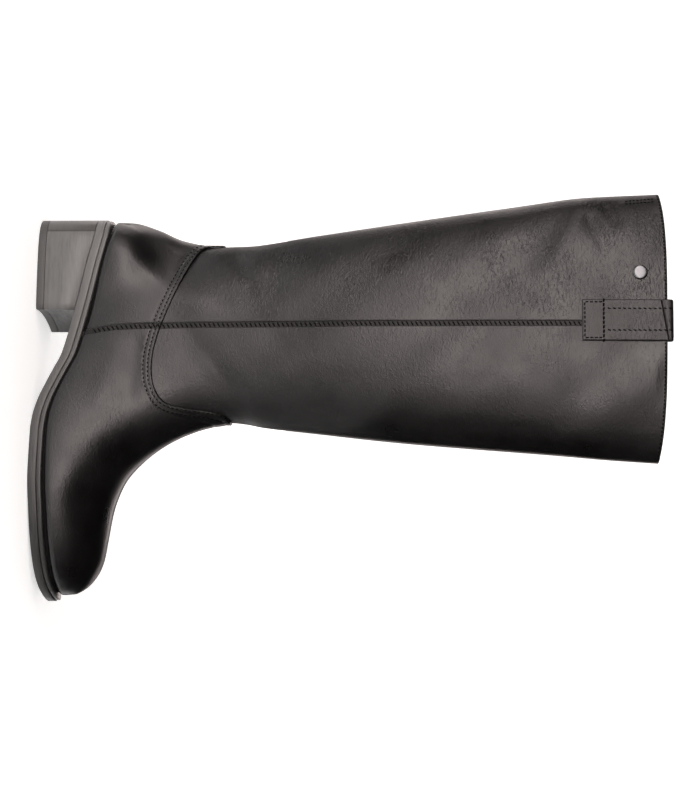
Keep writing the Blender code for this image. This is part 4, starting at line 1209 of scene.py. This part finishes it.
# Steps of a wall: how far behind the outline, the height, and the share of the way up to the sole
BLOCK_STEPS = [(0.3, TIP_TOP + 0.1, 0.0), (0.1, TIP_TOP + 0.15, 0.0), (0.0, TIP_TOP + 0.3, 0.0),
               (0.0, TIP_TOP, 0.5), (0.0, TIP_TOP, 0.99), (0.25, TIP_TOP, 1.0)]
TIP_STEPS = [(0.9, 0.0, 0.0), (0.2, 0.15, 0.0), (0.0, 0.7, 0.0), (0.0, 5.3, 0.0), (0.1, 5.5, 0.0),
             (0.3, TIP_TOP, 0.0)]


def heel_plan():
    """The sole's outline behind the breast, then the hollow breast from the inner side back."""
    loop = pushed_out(EDGE, REACH)
    half = OUTLINE_POINTS // 2
    outer = [tuple(corner) for corner in loop[:half + 1] if corner[0] < HEEL_OUTER - BREAST_CORNER]
    inner = [tuple(corner) for corner in loop[half + 1:] if corner[0] < HEEL_INNER - BREAST_CORNER]
    breast = []
    for share in np.linspace(1, -1, BREAST_POINTS):
        x = (HEEL_OUTER + HEEL_INNER) / 2 + share * (HEEL_INNER - HEEL_OUTER) / 2
        y = inner[-1][1] if share > 0 else -outer[0][1]
        breast.append((x - BREAST_HOLLOW * (1 - share**2), share * y))
    plan = np.array(outer + inner + breast)
    return plan[:len(plan) // 2 * 2]


def heel_layer(steps):
    """A layer of the heel, lofted through the steps of its wall."""
    plan = heel_plan()
    seat = feather(np.clip(plan[:, 0], FEATHER_X[0], FEATHER_X[-1]))
    seat = seat - WELT_THICK - LAYER_GAP - OUTSOLE_THICK - LAYER_GAP
    loops = []
    for inset, height, share in steps:
        loop = pushed_out(plan, np.full(len(plan), -inset))
        loops.append(np.column_stack((loop, height + (seat - height) * share)))
    return loft(loops)


def heel_stack(name, dark, light, ior):
    """Stacked lifts, sanded and inked: grey, with faint level lines, and painted shade: a dark line at the
    arris before the back, and a darker back.
    """
    material, tree, shader = finish(name, IOR=ior)
    spot = add(tree, "TexCoord").outputs["Object"]
    apart = add(tree, "SeparateXYZ", None, {"Vector": spot})
    # painted shade: a dark line along the arris and a darker back, by x
    corner = add(tree, "MapRange", {"From Min": place(ARRIS - ARRIS_HALF, 0.0, 0.0).x,
                                    "From Max": place(ARRIS + ARRIS_HALF, 0.0, 0.0).x},
                 {"Value": apart.outputs["X"]})
    arris = add(tree, "ValToRGB", None, {"Fac": corner.outputs["Result"]})
    for position, grey in ((0.32, "#c8c6c4"), (0.44, "#8c8a88"), (0.56, "#8c8a88"), (0.8, "#ffffff")):
        stop = arris.color_ramp.elements.new(position)
        stop.color = linear(grey)
    arris.color_ramp.elements.remove(arris.color_ramp.elements[0])
    arris.color_ramp.elements.remove(arris.color_ramp.elements[-1])
    # Two lifts to a band, because single ones are too fine to show
    lifts = add(tree, "TexWave", {"Scale": bands_mm(9.08, 20), "Distortion": 0.5,
                                  "bands_direction": "Z", "wave_profile": "SAW"}, {"Vector": spot})
    stretch = add(tree, "Mapping", {"Scale": (per_mm(9.0), per_mm(9.0), per_mm(1.2))}, {"Vector": spot})
    streak = add(tree, "TexNoise", {"Scale": 1.0, "Detail": 5.0}, {"Vector": stretch.outputs["Vector"]})
    base = add(tree, "Mix", {"data_type": "RGBA", "A": linear(dark), "B": linear(light)},
               {"Factor": streak.outputs["Fac"]})
    shaded_at_arris = add(tree, "Mix", {"data_type": "RGBA", "blend_type": "MULTIPLY", "Factor": 1.0},
                {"A": base.outputs["Result"], "B": arris.outputs["Color"]})
    tone = add(tree, "Mix", {"data_type": "RGBA", "blend_type": "MULTIPLY", "B": linear("#f4f2f0")},
               {"A": shaded_at_arris.outputs["Result"], "Factor": lifts.outputs["Fac"]})
    worn = add(tree, "MapRange", {"From Min": 0.3, "From Max": 0.7, "To Min": 0.3, "To Max": 0.42},
               {"Value": streak.outputs["Fac"]})
    lines = add(tree, "Bump", {"Strength": 0.18, "Distance": 0.2 * MM}, {"Height": lifts.outputs["Fac"]})
    wire(tree, shader, Base_Color=tone.outputs["Result"], Roughness=worn.outputs["Result"],
         Normal=lines.outputs["Normal"])
    return material


# Moulded rubber: dark, dull and slightly gritty
heel_rubber = mottled("heel_rubber", ("#323130", "#434241"), "TexNoise",
                      {"Scale": per_mm(1.0), "Detail": 3.0}, raised=(0.25, 0.12), Roughness=0.5, IOR=1.5)
heel_side = heel_stack("inked_heel_stack", "#474747", "#666564", 1.48)
# painted shade: the breast is a darker copy of the sides' finish
heel_breast_shade = heel_stack("heel_breast_painted_shade", "#131313", "#1b1b1b", 1.3)
block = heel_layer(BLOCK_STEPS)
for face in block.faces:
    face.material_index = int(face.normal.x > BREAST_FACING)
block = show("heel_lifts", block, "heel_stack", heel_side, heel_breast_shade, sharp=50.0)
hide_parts("heel_block")
tip = show("top_piece", heel_layer(TIP_STEPS), "heel_stack", heel_rubber, sharp=50.0)
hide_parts("heel_tip")

# %% [markdown]
# ## Insole
# The insole is a plain board that is only seen by looking down the shaft. Its solid is the right
# shape, so it only gets a finish.

# %% Insole
# Covered board: pale brown, matt, with a faint felted grain
sock_board = mottled("sock_board", ("#3a332c", "#4d443b"), "TexNoise",
                     {"Scale": per_mm(2.0), "Detail": 4.0}, Roughness=0.75)
board = bpy.data.objects["insole"].data
board.materials.clear()
board.materials.append(sock_board)
print("insole: sock board")

# %% [markdown]
# ## Stitches
# Every seam is sewn with black waxed thread. A stitch is a small flattened ball, and a row of them
# follows a line of the pattern: the ray that finds the leather there also gives the way it faces.
# One tiny shape repeated keeps the model light, and real stitches catch the light from all sides,
# which a painted row would not.

# %% The leather as it now lies
leather = bmesh.new()
for piece in (shaft, vamp, counter, gusset, strap):
    leather.from_mesh(piece.data)
leather_tree = BVHTree.FromBMesh(leather)
leather.free()


def on_leather(x, z, side):
    """Outermost leather at a place of the side view: place and direction outwards, or nothing."""
    start = place(x, side * FAR, z)
    spot, normal, _, _ = leather_tree.ray_cast(start, Vector((0.0, -side, 0.0)))
    return (spot, normal) if spot and spot.y * side > 0 else None


def beside(line, distance):
    """A line of points moved sideways, to the left of its direction when the distance is positive."""
    line = np.asarray(line, float)
    along = np.gradient(line, axis=0)
    along /= np.hypot(*along.T)[:, None]
    return line + np.stack((-along[:, 1], along[:, 0]), 1) * distance


LOOK = 0.3  # a line's direction is taken from this far ahead and behind


def spaced(line, pitch):
    """Points an equal pitch apart along a line, with the direction of the line at each."""
    line = np.asarray(line, float)
    run = np.concatenate(([0], np.cumsum(np.hypot(*np.diff(line, axis=0).T))))
    at = np.arange(pitch / 2, run[-1], pitch)
    points = np.stack([np.interp(at, run, column) for column in line.T], 1)
    ahead = np.stack([np.interp(at + LOOK, run, column) for column in line.T], 1)
    behind = np.stack([np.interp(at - LOOK, run, column) for column in line.T], 1)
    return zip(points, ahead - behind)


# Width, length and height of a stitch in mm, a little coarse so that they show
STITCH = (0.95, 2.15, 0.62)
SEAM_STITCH = (1.1, 3.9, 0.8)
STRAP_STITCH = (1.1, 2.7, 0.7)
BAR_STITCH = (1.6, 3.1, 0.9)
STITCH_LIFT = 0.08  # middle of a stitch over the leather
EDGE_ON = 0.25  # leather that faces the side less than this gets no stitch
stitches = []


def sew(line, side, pitch, size=STITCH, slant=0.0, keep=None):
    """Adds a row of stitches along a line of the side view, where keep allows them."""
    shape = Matrix.Diagonal((*(part / 2 for part in size), 1.0))
    for (x, z), (dx, dz) in spaced(line, pitch):
        found = on_leather(x, z, side)
        if found is None or (keep and not keep(x, z)):
            continue
        spot, normal = found
        if abs(normal.y) < EDGE_ON:
            continue
        ahead = Vector((dx, 0.0, dz))
        along = (ahead - normal * ahead.dot(normal)).normalized()
        turn = Matrix.Rotation(slant * side, 4, "Z")
        stitches.append(lie_on(spot + normal * STITCH_LIFT * MM, normal, along) @ turn @ shape)


print("stitch of", STITCH[1], "mm")

# %% Rows of stitches
COVER_PITCH, SEAM_PITCH, EDGE_PITCH, ZIP_PITCH = 3.0, 3.2, 2.6, 2.7
SEAM_SLANT = math.radians(58.0)
SEAM_FOOT = 40.0
COLLAR_ROW = 1.7
ZIP_ROWS, ZIP_ROW_TOP = (1.9, 4.8), 437.0  # distances from the slot
GUSSET_BACK_ROWS, GUSSET_FRONT_ROWS = (1.8, 4.6), (-2.0, -4.6)  # about as far from the V's two sides
TACK, TACK_ROWS = ((-15.6, 411.0), (-17.6, 431.0)), (2.6, 5.2)  # back seam under the collar
ZIP_CLEAR, STRAP_CLEAR = 6.0, 0.5  # rows stop this far from the zip and the strap


def collar_line(depth):
    """A line at a depth below the collar's edge."""
    x = np.linspace(SECTIONS[COLLAR].back_x + 0.5, SECTIONS[COLLAR].front_x - 0.5, 120)
    return np.stack((x, collar_depth(x, 0.0) - depth), 1)


def up_line(field, low, high):
    """A line up the boot, from a function of the height."""
    z = np.linspace(low, high, 160)
    return np.stack((field(z), z), 1)


def clear_of_zip(x, z):
    return from_zip(np.array(x), np.array(1.0), np.array(z)) > ZIP_CLEAR


def clear_of_strap(x, z):
    return abs(x - STRAP_MIDDLE) > STRAP_HALF + STRAP_CLEAR


for row in COVER_ROWS:
    line = beside(COVER_LINE, row)
    sew(line, -1, COVER_PITCH)
    sew(line, 1, COVER_PITCH, keep=clear_of_zip)
curved = up_line(lambda z: smooth(SIDE_SEAM_Z, SIDE_SEAM_X, z), SEAM_FOOT, SIDE_SEAM_Z[-1])
straight = up_line(lambda z: z * 0 + SIDE_SEAM_X[-1], SIDE_SEAM_Z[-1], STRAP_FOOT - 1.0)
seam_line = np.concatenate((curved, straight[1:]))
sew(beside(seam_line, -sum(SEAM_BAND) / 2), -1, SEAM_PITCH, SEAM_STITCH, SEAM_SLANT)
sew(collar_line(COLLAR_ROW), -1, EDGE_PITCH, keep=clear_of_strap)
sew(collar_line(COLLAR_ROW), 1, EDGE_PITCH)
for row in ZIP_ROWS:
    for way in (-1, 1):
        line = up_line(lambda z: zip_line(z) + way * (slot_half(z) + row), ZIP_END + 4, ZIP_ROW_TOP)
        sew(line, 1, ZIP_PITCH)
front_foot, v_tip, back_top, front_top = np.array(GUSSET_OUTLINE)
for row in GUSSET_BACK_ROWS:
    start = v_tip + (row * 0.1, -row)
    sew(beside(np.linspace(start, back_top, 40), row * 0.9), 1, ZIP_PITCH)
for row in GUSSET_FRONT_ROWS:
    start = front_foot + (0.0, 1.5)
    sew(beside(np.linspace(start, front_top, 40), row), 1, ZIP_PITCH)
for row in TACK_ROWS:
    sew(np.linspace(*TACK, 20) + (row, 0.0), -1, EDGE_PITCH)
print("stitches so far:", len(stitches))

# %% Stitches of the strap
STRAP_BOX = 15.0  # height of the sewn box at the strap's foot
STRAP_INSET = 2.0
BOX_GAP, BAR_REACH, BAR_SLANT = 1.5, 0.7, 0.1  # box to bar, and the bar past the strap's edges
LOOP_GAP, LOOP_SLANT = 2.0, 0.3  # bar to the rows above it
STRAP_PITCH, LOOP_PITCH = 3.1, 3.5
LOOP_ROWS = (6.5, 7.3)  # rows up to the loop, from the back and the front edge
STRAP_TOP = 441.0


def sew_strap(start, end, pitch=STRAP_PITCH, size=STRAP_STITCH, slant=0.0):
    """Adds a straight row of stitches on the strap."""
    sew(np.linspace(start, end, 20), -1, pitch, size, slant)


back, front = STRAP_MIDDLE - STRAP_HALF, STRAP_MIDDLE + STRAP_HALF
foot, bar = STRAP_FOOT + STRAP_INSET, STRAP_FOOT + STRAP_BOX
for x in (back + STRAP_INSET, front - STRAP_INSET):
    sew_strap((x, foot), (x, bar - BOX_GAP))
sew_strap((back + STRAP_INSET, foot), (front - STRAP_INSET, foot))
sew_strap((back - BAR_REACH, bar), (front + BAR_REACH, bar), size=BAR_STITCH, slant=BAR_SLANT)
for x in (back + LOOP_ROWS[0], front - LOOP_ROWS[1]):
    sew_strap((x, bar + LOOP_GAP), (x, STRAP_TOP), pitch=LOOP_PITCH, slant=LOOP_SLANT)
# Waxed polyester thread: near black, with a dull twist that is drawn coarse so that it shows
waxed_thread = mottled("waxed_thread", ("#030303", "#080808"), "TexWave",
                       {"Scale": bands_mm(1.974, 10), "bands_direction": "DIAGONAL"},
                       Roughness=0.85, IOR=1.2)
stitch = bmesh.new()
bmesh.ops.create_uvsphere(stitch, u_segments=6, v_segments=4, radius=MM)
show("stitches", repeat(stitch, stitches), "zip_tape", waxed_thread, sharp=80.0)

# %% [markdown]
# ## Studio
# The floor is one pale sheet that curves up into a wall all round, made by spinning a profile, so
# no corner shows. It shines a little by itself, as an overexposed white sheet does in a product
# photograph. Black leather shows whatever stands round it, so the light is built as a
# photographer builds it: a wide soft box on the camera's side towards the heel, weaker ones beside
# it, behind the heel and on the far side, and only a faint one ahead of the toe, which leaves the
# shin and the instep dark. The far part of the sheet is kept out of the leather's reflections for
# the same reason.

# %% Floor
FLOOR_EDGE = 0.75
FLOOR_PROFILE = [(0.0, 0.0), (FLOOR_EDGE, 0.0)]
WALL_PROFILE = [(FLOOR_EDGE, 0.0), (2.4, 0.0), (2.9, 0.09), (3.3, 0.33), (3.57, 0.72), (3.7, 1.2),
                (3.7, 3.2)]
# Matt white paper, lit so strongly that it loses its own shade
paper, _, _ = finish("studio_paper", Base_Color=linear("#e9e8e6"), Roughness=0.9,
                     Emission_Color=linear("#ffffff"), Emission_Strength=0.55)


def studio_sheet(name, profile):
    """A sheet of the studio, spun from its profile, with its pale side up."""
    form = spun(profile, 96)
    bmesh.ops.recalc_face_normals(form, faces=form.faces)
    if sum(face.normal.z for face in form.faces) < 0:
        bmesh.ops.reverse_faces(form, faces=form.faces)
    mesh = bpy.data.meshes.new(name)
    form.to_mesh(mesh)
    form.free()
    mesh.shade_smooth()
    mesh.materials.append(paper)
    sheet = bpy.data.objects.new(name, mesh)
    bpy.context.scene.collection.objects.link(sheet)
    sheet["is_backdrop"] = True
    return sheet


studio_sheet("studio_floor", FLOOR_PROFILE)
studio_sheet("studio_wall", WALL_PROFILE).visible_glossy = False
print("studio sheet:", paper.name)

# %% Lights
LAMP_COLOUR = (1.0, 0.89, 0.87)
LIGHT_AIM = Vector((0.0, 0.0, 0.22))
WORLD_LIGHT = 0.015


def softbox(name, turn, distance, height, size, watts):
    """Soft box at an angle round the boot: 0 is straight out from its outer side, 90 ahead of the toe."""
    lamp = bpy.data.lights.new(name, "AREA")
    lamp.shape = "RECTANGLE"
    lamp.size, lamp.size_y = size
    lamp.energy = watts
    lamp.color = LAMP_COLOUR
    box = bpy.data.objects.new(name, lamp)
    bpy.context.scene.collection.objects.link(box)
    angle = math.radians(turn)
    box.location = (math.sin(angle) * distance, -math.cos(angle) * distance, height)
    box.rotation_euler = (LIGHT_AIM - box.location).to_track_quat("-Z", "Y").to_euler()
    box.visible_camera = False


# Name, degrees round the boot, metres away and up, width and height in metres, watts
softbox("key", -18.0, 2.1, 0.58, (2.8, 0.56), 27.5)
softbox("under_key", -18.0, 2.15, 0.15, (2.8, 0.3), 10.0)
softbox("beside_key", -66.0, 2.1, 0.5, (0.8, 0.7), 3.0)
softbox("past_key", 27.0, 2.1, 0.5, (0.7, 0.8), 2.2)
softbox("behind_heel", -125.0, 2.2, 0.22, (2.4, 0.6), 9.0)
softbox("far_side", -175.0, 2.2, 0.5, (2.0, 1.2), 14.0)
softbox("ahead", 50.0, 2.2, 0.7, (1.2, 1.2), 0.8)
world = bpy.data.worlds.new("studio")
world.use_nodes = True
background = world.node_tree.nodes["Background"]
background.inputs["Color"].default_value = linear("#ffffff")
background.inputs["Strength"].default_value = WORLD_LIGHT
bpy.context.scene.world = world
print("studio: seven soft boxes")

# %% [markdown]
# ## Sizes
# The box round the dressed boot is printed, in millimetres. The dressed boot must not be bigger
# than its solids by more than leather may stand proud.

# %% Sizes and finish
low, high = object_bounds()
print("visual box", [round(c / MM, 1) for c in low], [round(c / MM, 1) for c in high], "mm")
